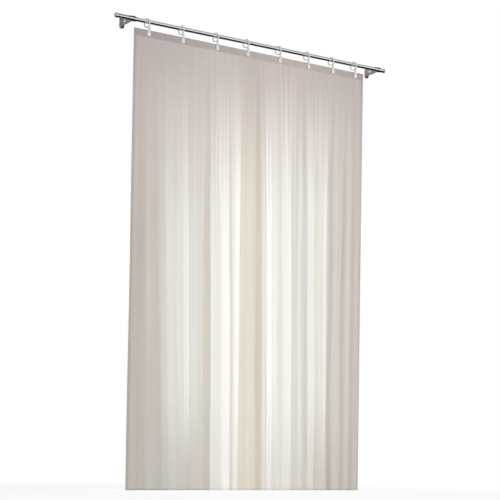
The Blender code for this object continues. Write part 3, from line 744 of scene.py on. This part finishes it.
def banded_tone_and_shade(tree, share):
    """The tone across the cloth, with its painted light and shade, and how much of it is lost at the hem."""
    firsts = range(0, len(TONE_AND_SHADE_BANDS), BANDS_PER_RAMP)
    groups = [TONE_AND_SHADE_BANDS[first:first + BANDS_PER_RAMP] for first in firsts]
    starts = [group[0][0] for group in groups[1:]] + [1.0]
    colour, loss = band_ramp(tree, share, groups[0], starts[0])
    for group, border, end in zip(groups[1:], starts, starts[1:]):
        beyond = maths(tree, "GREATER_THAN", share, border)
        next_colour, next_loss = band_ramp(tree, share, group, end)
        colour = tint_between(tree, beyond, colour, next_colour)
        loss = between(tree, beyond, loss, next_loss)
    return colour, loss


def share_ramp(tree, share, tones):
    """A colour that runs evenly between tones at shares of the width."""
    return ramp(tree, share, [(place, (*tone, 1.0)) for place, tone in tones])["Color"]


def weave_height(tree, spot):
    """The height of a plain weave: threads across and threads down, each a fine wave."""
    heights = []
    for direction, size in (("X", CURTAIN_WIDTH), ("Y", CURTAIN_HEIGHT)):
        settings = {"wave_type": "BANDS", "bands_direction": direction, "wave_profile": "SIN"}
        inputs = {"Vector": spot, "Scale": WEAVE_WAVE_UNIT * size / WEAVE_PITCH}
        heights.append(node(tree, "TexWave", settings, inputs)["Fac"])
    return maths(tree, "ADD", *heights)


def cloth_spot(tree):
    """Shares of the width and of the drop, from a map that stays with the cloth as it gathers."""
    spot = node(tree, "UVMap", {"uv_map": "cloth"})[0]
    share, fall = node(tree, "SeparateXYZ", inputs={0: spot})[:2]
    return spot, share, fall


def cloth_noise(tree, spot, cells, low, high):
    """Noise from low to high over the cloth, by its cells across, its cells down and its detail."""
    across, down, detail = cells
    return between(tree, noise(tree, spot, (across, down, 1.0), 1.0, detail), low, high)


def voile_tone(tree, spot, share, fall):
    """The top's tones, which turn into the bands of tone and painted light and shade down the drop and fade
    at the hem, and how lively they are.
    """
    wander = cloth_noise(tree, spot, WANDER_NOISE, -TONE_WANDER_SHARE, TONE_WANDER_SHARE)
    tone, loss = banded_tone_and_shade(tree, maths(tree, "ADD", share, wander))
    lively = eased(tree, share, *CALM_SHARES)
    uneven = between(tree, lively, 1.0, cloth_noise(tree, spot, FADE_NOISE, *FADE_IN_SPREAD))
    fade_in_end = maths(tree, "MULTIPLY", between(tree, share, *FADE_IN_END_SHARES), uneven)
    shown = eased(tree, fall, FADE_IN_START_SHARE, fade_in_end)
    lighter = between(tree, eased(tree, fall, *TOP_LIGHTENING_SHARES), 1.0, TOP_LIGHTENING)
    top = scaled(tree, share_ramp(tree, share, TOP_TONES), lighter)
    past_strip = eased(tree, share, *EDGE_STRIP_SHARES)
    fade_out_start = between(tree, past_strip, *FADE_OUT_START_SHARES)
    lost = maths(tree, "MULTIPLY", loss, eased(tree, fall, fade_out_start, 1.0))
    tone = tint_between(tree, shown, top, tone)
    tone = tint_between(tree, lost, tone, share_ramp(tree, share, HEM_TONES))
    return tone, maths(tree, "MULTIPLY", lively, maths(tree, "SUBTRACT", 1.0, shown))


def voile_colour(tree, spot, share, fall):
    """The voile's tone with its streaks, threads and clouds, here cooler and there warmer, with painted
    shade in the hollows of its small pleats and painted light on their crests.
    """
    tone, lively = voile_tone(tree, spot, share, fall)
    low, high = (between(tree, lively, *ends) for ends in zip(STREAKS_BELOW, STREAKS_AT_TOP))
    pleat_shading = node(tree, "Attribute", {"attribute_name": "pleat_shading"})["Fac"]
    streaks = cloth_noise(tree, spot, STREAK_NOISE, low, high)
    shade = maths(tree, "MULTIPLY", streaks, between(tree, pleat_shading, *PLEAT_PAINTED_SHADES))
    for cells in FINE_NOISES:
        shade = maths(tree, "MULTIPLY", shade, cloth_noise(tree, spot, cells, *FINE_SHADES))
    tint = tint_between(tree, cloth_noise(tree, spot, WARMTH_NOISE, 0.0, 1.0), COOL_TINT, WARM_TINT)
    tinted = node(tree, "VectorMath", {"operation": "MULTIPLY"}, {0: tone, 1: tint})[0]
    return scaled(tree, tinted, shade)


def voile_material(name, passed, clear):
    """Thin woven cloth: light passes through it, and its colour carries painted light and shade that follow
    its pleats and layers.
    """
    material, tree = new_material(name)
    spot, share, fall = cloth_spot(tree)
    colour = voile_colour(tree, spot, share, fall)
    weave = bump(tree, weave_height(tree, spot), *VOILE_WEAVE)
    inputs = {"Base Color": colour, "Normal": weave, **CLOTH_GLOSS}
    cloth = node(tree, "BsdfPrincipled", inputs=inputs)[0]
    through = node(tree, "BsdfTranslucent", inputs={"Color": colour})[0]
    holes = node(tree, "BsdfTransparent")[0]
    return finished(material, mixed(tree, clear, mixed(tree, passed, cloth, through), holes))


# Tones of the heading tape: places as shares of the width
TAPE_TONES = (
    (0.00, (0.440, 0.400, 0.390)), (0.30, (0.520, 0.475, 0.450)), (0.66, (0.575, 0.520, 0.472)),
    (0.86, (0.520, 0.465, 0.440)), (1.00, (0.440, 0.385, 0.375)),
)


def tape_material():
    """The heading tape: a denser ribbed band, darker than the cloth."""
    material, tree = new_material("heading_cloth")
    spot, share, _ = cloth_spot(tree)
    patches = cloth_noise(tree, spot, PATCH_NOISE, *PATCH_SHADES)
    return principled(material, {
        "Base Color": scaled(tree, share_ramp(tree, share, TAPE_TONES), patches),
        "Normal": bump(tree, weave_height(tree, spot), *TAPE_WEAVE),
        **CLOTH_GLOSS,
    })


def thread_material():
    """Sewing thread, a little lighter than the cloth under it."""
    material, tree = new_material("thread")
    colour = tint_between(tree, local_noise(tree, *THREAD_TWIST), *THREAD_TONES)
    return principled(material, {"Base Color": colour, "Roughness": THREAD_ROUGHNESS})


def make_finishes():
    """Each finish's material, paired with a slot name."""
    made = {}
    for name, (tones, roughness, stretch, strength) in METALS.items():
        skin = (METAL_CLOUDS, (*METAL_LINES, stretch), (strength, METAL_LINE_DEPTH))
        made[name] = (solid_material(name, tones, roughness, *skin, {"Metallic": 1.0}), name)
    skin = (PLASTIC_CLOUDS, PLASTIC_SKIN, PLASTIC_SKIN_BUMP)
    for name, (tones, roughness) in PLASTICS.items():
        made[name] = (solid_material(name, tones, roughness, *skin, PLASTIC_BODY), name)
    for name, values in VOILES.items():
        made[name] = (voile_material(name, *values), "voile")
    made["heading_cloth"] = (tape_material(), "heading_cloth")
    made["thread"] = (thread_material(), "voile")
    return made


# Rod, brackets and fixings


def rounded_end(length, radius, edge):
    """Profile points from (length - edge, radius) round to (length, radius - edge)."""
    return arc(length - edge, radius - edge, edge, math.pi / 2, 0.0, EDGE_STEPS)


def rod_mesh():
    inner = ROD_RADIUS - ROD_WALL
    start, end = ROD_LOW.x, ROD_HIGH.x
    return turned([(start, inner), (start, ROD_RADIUS), (end, ROD_RADIUS), (end, inner)], ROD_SIDES)


def cap_mesh(direction):
    plug_radius = ROD_RADIUS - ROD_WALL - GAP
    profile = [(-CAP_PLUG_LENGTH, 0.0), (-CAP_PLUG_LENGTH, plug_radius)]
    profile += [(GAP, plug_radius), (GAP, CAP_RADIUS)]
    profile += rounded_end(CAP_LENGTH, CAP_RADIUS, CAP_EDGE_RADIUS)
    profile += [(CAP_LENGTH, 0.0)]
    return turned(profile, SLEEVE_SIDES, direction=direction)


def plate_outline(radius, y):
    straight = (PLATE_HEIGHT - PLATE_WIDTH) / 2
    outline = arc(0.0, straight, radius, 0.0, math.pi, SMALL_SIDES)
    outline += arc(0.0, -straight, radius, math.pi, 2 * math.pi, SMALL_SIDES)
    return [(x, y, z) for x, z in outline]


def plate_mesh():
    """The wall plate with a rounded front edge and its two screw holes."""
    radius = PLATE_WIDTH / 2
    outlines = [plate_outline(radius, 0.0)]
    for depth, reach in rounded_end(PLATE_THICKNESS, radius, PLATE_EDGE_RADIUS):
        outlines.append(plate_outline(reach, -depth))
    holes = []
    for side in (-1, 1):
        ring = circle(0.0, side * SCREW_OFFSET, SCREW_SHANK_RADIUS + GAP, SMALL_SIDES)
        holes.append(prism(ring, -PLATE_THICKNESS - CUT_OVERRUN, CUT_OVERRUN, "Y"))
    return combined(lofted(outlines), cuts=holes)


def bracket_mesh():
    """The plate, the tapered web with its round hole, and the eye round the bushes."""
    root = -PLATE_THICKNESS + JOINT_OVERLAP
    waist = (root + ROD_Y) / 2
    upper = [(root, WEB_ROOT_HALF_HEIGHT), (waist, WEB_WAIST_HALF_HEIGHT), (ROD_Y, WEB_EYE_HALF_HEIGHT)]
    outline = [(y, -z) for y, z in upper] + upper[::-1]
    half = WEB_THICKNESS / 2
    eye = prism(circle(ROD_Y, 0.0, EYE_RADIUS, SLEEVE_SIDES), -half, half)
    plain = combined(prism(outline, -half, half), joins=[eye])
    holes = ((ROD_Y, EYE_BORE), (-WEB_HOLE_FROM_WALL, WEB_HOLE_RADIUS))
    cutters = [bore(y, 0.0, radius, half, SLEEVE_SIDES) for y, radius in holes]
    web = combined(plain, cuts=cutters, bevel=WEB_EDGE_RADIUS)
    return combined(plate_mesh(), joins=[web])


def bush_mesh(direction, spigot):
    """A sleeve beside the eye. The outer one has a spigot in the eye, the inner one a grub screw."""
    end = BUSH_START + BUSH_LENGTH
    profile = rounded_end(end, BUSH_RADIUS, BUSH_EDGE_RADIUS) + [(end, BUSH_BORE)]
    if spigot:
        inner = -WEB_THICKNESS / 2
        profile += [(inner, BUSH_BORE), (inner, SPIGOT_RADIUS), (BUSH_START, SPIGOT_RADIUS)]
    else:
        profile += [(BUSH_START, BUSH_BORE)]
    profile += [(BUSH_START, BUSH_RADIUS)]
    sleeve = turned(profile, SLEEVE_SIDES, direction=direction)
    if spigot:
        return sleeve
    ring = circle(direction * (BUSH_START + BUSH_LENGTH / 2), 0.0, GRUB_RADIUS + GAP, SMALL_SIDES)
    return combined(sleeve, cuts=[prism(ring, -BUSH_RADIUS - CUT_OVERRUN, -ROD_RADIUS / 2, "Z")])


def wall_screw_mesh():
    """A pan head screw with a crossed slot."""
    seat = PLATE_THICKNESS + GAP
    top = seat + SCREW_HEAD_HEIGHT
    profile = [(0.0, 0.0), (0.0, SCREW_SHANK_RADIUS), (seat, SCREW_SHANK_RADIUS)]
    profile += [(seat, SCREW_HEAD_RADIUS)]
    profile += rounded_end(top, SCREW_HEAD_RADIUS, SCREW_HEAD_HEIGHT / 2) + [(top, 0.0)]
    body = turned(profile, SCREW_SIDES, "Y", -1)
    half_width = SCREW_SLOT_WIDTH / 2
    half_length = SCREW_SLOT_LENGTH / 2
    slots = []
    for u, v in ((half_width, half_length), (half_length, half_width)):
        corners = [(-u, -v), (u, -v), (u, v), (-u, v)]
        slots.append(prism(corners, -top - CUT_OVERRUN, -top + SCREW_SLOT_DEPTH, "Y"))
    return combined(body, cuts=[combined(slots[0], joins=[slots[1]])])


def build_rail(finishes):
    chrome = finishes["chrome"]
    add_piece("rod_tube", rod_mesh(), chrome, "rail", ["rod"], (0.0, ROD_Y, 0.0))
    for side, end, outward in (("left", ROD_LOW.x, -1), ("right", ROD_HIGH.x, 1)):
        mesh = cap_mesh(outward)
        add_piece(f"cap_{side}", mesh, chrome, "rail", [f"end_cap_{side}"], (end, ROD_Y, 0.0))
    bracket = bracket_mesh()
    screw = wall_screw_mesh()
    for side, inward in (("left", 1), ("right", -1)):
        x = BRACKET_PLACES[side]
        name = f"bracket_{side}"
        add_piece(f"wall_{name}", bracket, finishes["bracket_metal"], "rail", [name], (x, 0.0, 0.0))
        for part, direction in (("outer", -inward), ("inner", inward)):
            mesh = bush_mesh(direction, spigot=part == "outer")
            name = f"{part}_{side}"
            add_piece(f"sleeve_{name}", mesh, chrome, "rail", [f"bush_{name}"], (x, ROD_Y, 0.0))
        for level, z in (("upper", SCREW_OFFSET), ("lower", -SCREW_OFFSET)):
            name = f"screw_{side}_{level}"
            add_piece(name, screw, finishes["screw_steel"], "rail", [f"wall_{name}"], (x, 0.0, z))


# Rings with clips


def teardrop(half_width, neck_half_width, top, bottom):
    """A jaw's outline: a narrow neck that widens to a round lower end."""
    centre = bottom + half_width
    lean = math.atan2(half_width - neck_half_width, top - centre)
    points = [(-neck_half_width, top)]
    points += arc(0.0, centre, half_width, math.pi - lean, 2 * math.pi + lean, SMALL_SIDES)
    return points + [(neck_half_width, top)]


def crowned_teardrop(half_width, neck_half_width, top, bottom, back, front, crown):
    """A teardrop plate whose outer face is rounded over, from back to front."""
    outlines = []
    for y in (back, front):
        outlines.append([(x, y, z) for x, z in teardrop(half_width, neck_half_width, top, bottom)])
    outward = math.copysign(crown, front - back)
    for step in range(1, CROWN_STEPS):
        angle = math.pi / 2 * step / CROWN_STEPS
        inset = 1 - math.cos(angle)
        shape = teardrop(
            half_width * (1 - inset), neck_half_width * (1 - inset),
            top - neck_half_width * inset, bottom + half_width * inset,
        )
        outlines.append([(x, front + outward * math.sin(angle), z) for x, z in shape])
    return lofted(outlines)


def loop_outline():
    """The ring's outer edge and its stem, which cranks back to the neck above the clip."""
    outline = arc(RING_CENTRE_Y, RING_CENTRE_Z, RING_OUTER_RADIUS, math.pi, RING_LOWER_ANGLE, RING_SIDES)
    crank = PIN_Z + NECK_CRANK_ABOVE_PIN
    neck_bottom = CURTAIN_TOP + NECK_BOTTOM_ABOVE_TAPE
    outline += [(NECK_BACK, crank), (NECK_BACK, neck_bottom)]
    outline += [(NECK_FRONT, neck_bottom), (NECK_FRONT, crank)]
    return outline + [(RING_CENTRE_Y - RING_OUTER_RADIUS, RING_CENTRE_Z - STEM_CRANK_DROP)]


def ring_mesh():
    """Loop, stem, neck and rear jaw, moulded in one piece, with the pin's bore."""
    half = RING_STOCK / 2
    hole = bore(RING_CENTRE_Y, RING_CENTRE_Z, RING_INNER_RADIUS, half, RING_SIDES)
    loop = combined(prism(loop_outline(), -half, half), cuts=[hole], bevel=RING_EDGE_RADIUS)
    lug = prism(circle(PIN_Y, PIN_Z, KNUCKLE_RADIUS, SMALL_SIDES), -half, half)
    jaw = crowned_teardrop(
        REAR_JAW_HALF_WIDTH, REAR_JAW_NECK_HALF_WIDTH, PIN_Z, CURTAIN_TOP - JAW_HEIGHT,
        REAR_JAW_FRONT, REAR_JAW_BACK - JAW_EDGE_RADIUS, JAW_EDGE_RADIUS,
    )
    joined = combined(loop, joins=[lug, jaw])
    return combined(joined, cuts=[bore(PIN_Y, PIN_Z, PIN_BORE, half)])


def cheek_outline():
    """One cheek of the front jaw: round the pin, down to the plate and up to the tail."""
    plate_top = PIN_Z - FRONT_JAW_BELOW_PIN
    plate_middle = (FRONT_JAW_FRONT + FRONT_JAW_BACK) / 2
    tail_middle = (TAIL_BACK + TAIL_FRONT) / 2
    tail_base = PIN_Z + TAIL_BOTTOM_ABOVE_PIN
    points = [(FRONT_JAW_FRONT, plate_top), (plate_middle, plate_top - FRONT_JAW_THICKNESS)]
    points += [(FRONT_JAW_BACK, plate_top)]
    points += arc(PIN_Y, PIN_Z, KNUCKLE_RADIUS, CHEEK_START_ANGLE, math.pi / 2, SMALL_SIDES // 2)
    return points + [(tail_middle, tail_base + TAIL_THICKNESS), (tail_middle, tail_base)]


def front_jaw_mesh():
    """The crowned teardrop jaw with two cheeks on the pin and a tail that the spring pushes."""
    plate = crowned_teardrop(
        FRONT_JAW_HALF_WIDTH, CHEEK_OUTER, PIN_Z - FRONT_JAW_BELOW_PIN, CURTAIN_TOP - JAW_HEIGHT,
        FRONT_JAW_BACK, FRONT_JAW_FRONT, FRONT_JAW_CROWN,
    )
    ends = ((-CHEEK_OUTER, -CHEEK_INNER), (CHEEK_INNER, CHEEK_OUTER))
    cheeks = [prism(cheek_outline(), start, end) for start, end in ends]
    low = PIN_Z + TAIL_BOTTOM_ABOVE_PIN
    high = PIN_Z + TAIL_TOP_ABOVE_PIN
    corners = [(TAIL_FRONT, low), (TAIL_BACK, low), (TAIL_BACK, high), (TAIL_FRONT, high)]
    tail = combined(prism(corners, -CHEEK_OUTER, CHEEK_OUTER), bevel=JAW_EDGE_RADIUS)
    joined = combined(plate, joins=cheeks + [tail])
    return combined(joined, cuts=[bore(PIN_Y, PIN_Z, PIN_BORE, CHEEK_OUTER)])


def build_rings(finishes):
    ring = ring_mesh()
    jaw = front_jaw_mesh()
    for number, along in enumerate(RING_PLACES, 1):
        body = "curtain" if number == 1 else f"runner_{number}"
        place = (along, ROD_Y, 0.0)
        name = f"ring_{number}"
        add_piece(f"clip_{name}", ring, finishes["ring_plastic"], body, [name], place)
        replaced = [f"front_jaw_{number}"]
        add_piece(f"clip_jaw_{number}", jaw, finishes["jaw_plastic"], f"clip_{number}", replaced, place)


# Cloth


def smooth_step(value):
    held = np.clip(value, 0.0, 1.0)
    return held * held * (3 - 2 * held)


def fold_profile(share):
    """How far the main pleats stand forward at shares of the width, less their mean."""
    total = np.zeros_like(share)
    mean = 0.0
    for left, right, depth in PLEAT_SHARES:
        rise = smooth_step((share - left) / PLEAT_EDGE_SHARE + 0.5)
        fall = smooth_step((share - right) / PLEAT_EDGE_SHARE + 0.5)
        total += depth * (rise - fall)
        mean += depth * (right - left)
    return total - mean


def pleat_surface(across, drop):
    """How far the small pleats stand forward. They are drawn the same on every run."""
    draw = random.Random(PLEAT_SEED)
    total = np.zeros_like(across)
    for number in range(PLEAT_COUNT):
        centre = CURTAIN_WIDTH * (number + draw.uniform(*PLEAT_PLACES)) / PLEAT_COUNT
        half_width = draw.uniform(*PLEAT_HALF_WIDTHS)
        depth = draw.uniform(*PLEAT_DEPTHS) * draw.choice(PLEAT_SIDES)
        grown = smooth_step((drop - draw.uniform(*PLEAT_STARTS)) / PLEAT_GROWTH)
        turn = 2 * np.pi * drop / PLEAT_WANDER_LENGTH + draw.uniform(0.0, 2 * math.pi)
        away = (across - centre - PLEAT_WANDER * np.sin(turn)) / half_width
        total += depth * grown * np.exp(-away * away)
    return total


def gather_surface(across, drop):
    """Fine gathers just below the tape, and the cloth pulled forward below each clip."""
    swell = 1 - np.exp(-drop / GATHER_PITCH)
    wander = GATHER_WANDER * np.sin(across / GATHER_WANDER_LENGTH)
    ripple = np.sin(2 * np.pi * across / GATHER_PITCH + wander)
    total = GATHER_DEPTH * ripple * swell * np.exp(-drop / GATHER_FADE)
    for place in RING_PLACES:
        away = (across - (place - CURTAIN_LEFT)) / (PULL_HALF_WIDTH + PULL_SPREAD * drop)
        total += PULL_DEPTH * swell * np.exp(-drop / PULL_FADE) * np.exp(-away * away)
    return total


def cloth_points(shares, heights, offset):
    """Points of the cloth, set back by offset, with their shares of its width and drop, and small pleats."""
    share, z = np.meshgrid(shares, heights)
    drop = np.maximum(TAPE_BOTTOM - z, 0.0)
    across = share * CURTAIN_WIDTH
    growth = 1 - np.exp(-drop / FOLD_GROWTH_LENGTH)
    small = pleat_surface(across, drop)
    forward = FOLD_DEPTH * growth * fold_profile(share) + small + gather_surface(across, drop)
    drift = np.interp(share, *zip(*DRIFT_SHARES)) * drop / (TAPE_BOTTOM - CURTAIN_BOTTOM)
    x = CURTAIN_LEFT + across + drift * CURTAIN_WIDTH
    points = np.stack([x, CURTAIN_Y - forward + offset, z], axis=-1)
    places = np.stack([share, (CURTAIN_TOP - z) / CURTAIN_HEIGHT], axis=-1)
    return points.reshape(-1, 3), places.reshape(-1, 2), small.ravel()


def grid_faces(rows, columns):
    corner = (np.arange(rows - 1)[:, None] * columns + np.arange(columns - 1)).ravel()
    return np.stack([corner, corner + columns, corner + columns + 1, corner + 1], axis=1)


def cloth_mesh(name, points, places, faces):
    """A mesh with a map of its places, so that its looks stay with the cloth."""
    mesh = bpy.data.meshes.new(name)
    mesh.from_pydata(points.tolist(), [], faces)
    layer = mesh.uv_layers.new(name="cloth")
    corners = np.zeros(len(mesh.loops), np.int32)
    mesh.loops.foreach_get("vertex_index", corners)
    layer.data.foreach_set("uv", places[corners].astype(np.float32).ravel())
    mesh.shade_smooth()
    return mesh


def grid_mesh(name, shares, heights):
    """One sheet over the cloth's middle surface, with the height of its small pleats kept for the voile's
    painted pleat light and shade.
    """
    points, places, small = cloth_points(shares, heights, 0.0)
    mesh = cloth_mesh(name, points, places, grid_faces(len(heights), len(shares)).tolist())
    pleat_shading = mesh.attributes.new("pleat_shading", "FLOAT", "POINT")
    pleat_shading.data.foreach_set("value", (0.5 + small / (2 * PLEAT_DEPTHS[1])).astype(np.float32))
    return mesh


def strip_mesh(name, shares, heights, offsets):
    """A closed band of cloth between two offsets from the middle surface, the front one first."""
    front, back = (cloth_points(shares, heights, offset) for offset in offsets)
    points, places = (np.concatenate(pair) for pair in zip(front[:2], back[:2]))
    rows, columns = len(heights), len(shares)
    layer = rows * columns
    near = grid_faces(rows, columns)
    faces = near.tolist() + (near[:, ::-1] + layer).tolist()
    edge = list(range(columns)) + [row * columns + columns - 1 for row in range(1, rows)]
    edge += [layer - 1 - step for step in range(1, columns)]
    edge += [row * columns for row in range(rows - 2, 0, -1)]
    faces += [(a, b, b + layer, a + layer) for a, b in zip(edge, edge[1:] + edge[:1])]
    mesh = cloth_mesh(name, points, places, faces)
    mesh.set_sharp_from_angle(angle=BEVEL_ANGLE)
    return mesh


def spaced(start, end, pitch):
    """Even lines from start to end, about a pitch apart."""
    return np.linspace(start, end, round(abs(end - start) / pitch) + 1)


def panel_rows():
    """Row lines down the panel, closer together near the tape, where gathers start."""
    share = np.linspace(0.0, 1.0, PANEL_ROWS - 2)
    lines = TAPE_BOTTOM + (CURTAIN_BOTTOM - TAPE_BOTTOM) * share**PANEL_ROW_GROWTH
    return np.concatenate([[CURTAIN_TOP, (CURTAIN_TOP + TAPE_BOTTOM) / 2], lines])


def stitches_mesh(name, shares, heights, direction, offset):
    """A row of stitches over the cloth, each a small raised lozenge."""
    half, side = STITCH_LENGTH / 2, STITCH_HALF_WIDTH
    corners = [(half, 0.0), (0.0, side), (-half, 0.0), (0.0, -side)]
    if direction == "Z":
        corners = [corner[::-1] for corner in corners]
    points = []
    faces = []
    for x, y, z in cloth_points(shares, heights, offset)[0]:
        base = len(points)
        points += [(x + dx, y, z + dz) for dx, dz in corners] + [(x, y - STITCH_HEIGHT, z)]
        faces += [(base + a, base + (a + 1) % 4, base + 4) for a in range(4)]
        faces.append((base + 3, base + 2, base + 1, base))
    mesh = bpy.data.meshes.new(name)
    mesh.from_pydata(points, [], faces)
    return mesh


def build_cloth(finishes):
    """The panel, tape, hems and stitching, all on the curtain's body, which the first ring shares."""
    shares = np.linspace(0.0, 1.0, PANEL_COLUMNS)
    heights = panel_rows()
    mesh = grid_mesh("voile_panel", shares, heights)
    panel = add_piece("voile_panel", mesh, finishes["voile"], "curtain", ["curtain_panel"])
    tape = (np.linspace(0.0, 1.0, TAPE_COLUMNS), np.linspace(CURTAIN_TOP, TAPE_BOTTOM, TAPE_ROWS))
    bottom = HEM_TOP + GAP
    beside = np.append(heights[(heights > bottom) & (heights < TAPE_BOTTOM + GAP)], bottom)
    left = (np.linspace(0.0, HEM_SHARE, SIDE_HEM_COLUMNS), beside)
    right = (np.linspace(1.0 - HEM_SHARE, 1.0, SIDE_HEM_COLUMNS), beside)
    below = (shares, np.linspace(HEM_TOP, CURTAIN_BOTTOM, BOTTOM_HEM_ROWS))
    pieces = []
    for name, lines, offsets, finish, replaced in (
        ("heading_band", tape, (TAPE_FRONT, TAPE_BACK), "heading_cloth", "heading_tape"),
        ("hem_left", left, (HEM_FRONT, HEM_BACK), "hem", "side_hem_left"),
        ("hem_right", right, (HEM_FRONT, HEM_BACK), "hem", "side_hem_right"),
        ("hem_bottom", below, (HEM_FRONT, HEM_BACK), "hem", "bottom_hem"),
    ):
        mesh = strip_mesh(name, *lines, offsets)
        pieces.append(add_piece(name, mesh, finishes[finish], "curtain", [replaced]))
    pieces += build_stitching(finishes["thread"])
    for piece in [panel] + pieces:
        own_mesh(piece)


def build_stitching(finish):
    """Two rows on the tape, and one just inside the inner edge of each hem."""
    inset = STITCH_INSET / CURTAIN_WIDTH
    across = spaced(inset, 1.0 - inset, STITCH_PITCH / CURTAIN_WIDTH)
    down = spaced(TAPE_BOTTOM - STITCH_INSET, HEM_TOP - STITCH_INSET, STITCH_PITCH)
    made = []
    for name, shares, heights, direction, offset in (
        ("stitch_tape_top", across, [CURTAIN_TOP - STITCH_INSET], "X", TAPE_FRONT),
        ("stitch_tape_bottom", across, [TAPE_BOTTOM + STITCH_INSET], "X", TAPE_FRONT),
        ("stitch_hem_bottom", across, [HEM_TOP - STITCH_INSET / 2], "X", PANEL_FRONT),
        ("stitch_hem_left", [HEM_SHARE - inset], down, "Z", PANEL_FRONT),
        ("stitch_hem_right", [1.0 - HEM_SHARE + inset], down, "Z", PANEL_FRONT),
    ):
        mesh = stitches_mesh(name, shares, heights, direction, offset)
        made.append(add_piece(name, mesh, finish, "curtain"))
    return made


def dress_small_nodes(steel):
    """The small metal nodes keep their solids and get their finish."""
    for name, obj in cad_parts.items():
        if name.startswith(("grub_screw", "pivot_pin", "clip_spring")):
            obj.data.materials.clear()
            obj.data.materials.append(steel)


bpy.context.scene.view_settings.view_transform = "Standard"
make_camera()
make_world()
make_floor()
make_cards()
make_lamps()
all_finishes = make_finishes()
build_rail(all_finishes)
build_rings(all_finishes)
build_cloth(all_finishes)
dress_small_nodes(all_finishes["screw_steel"][0])
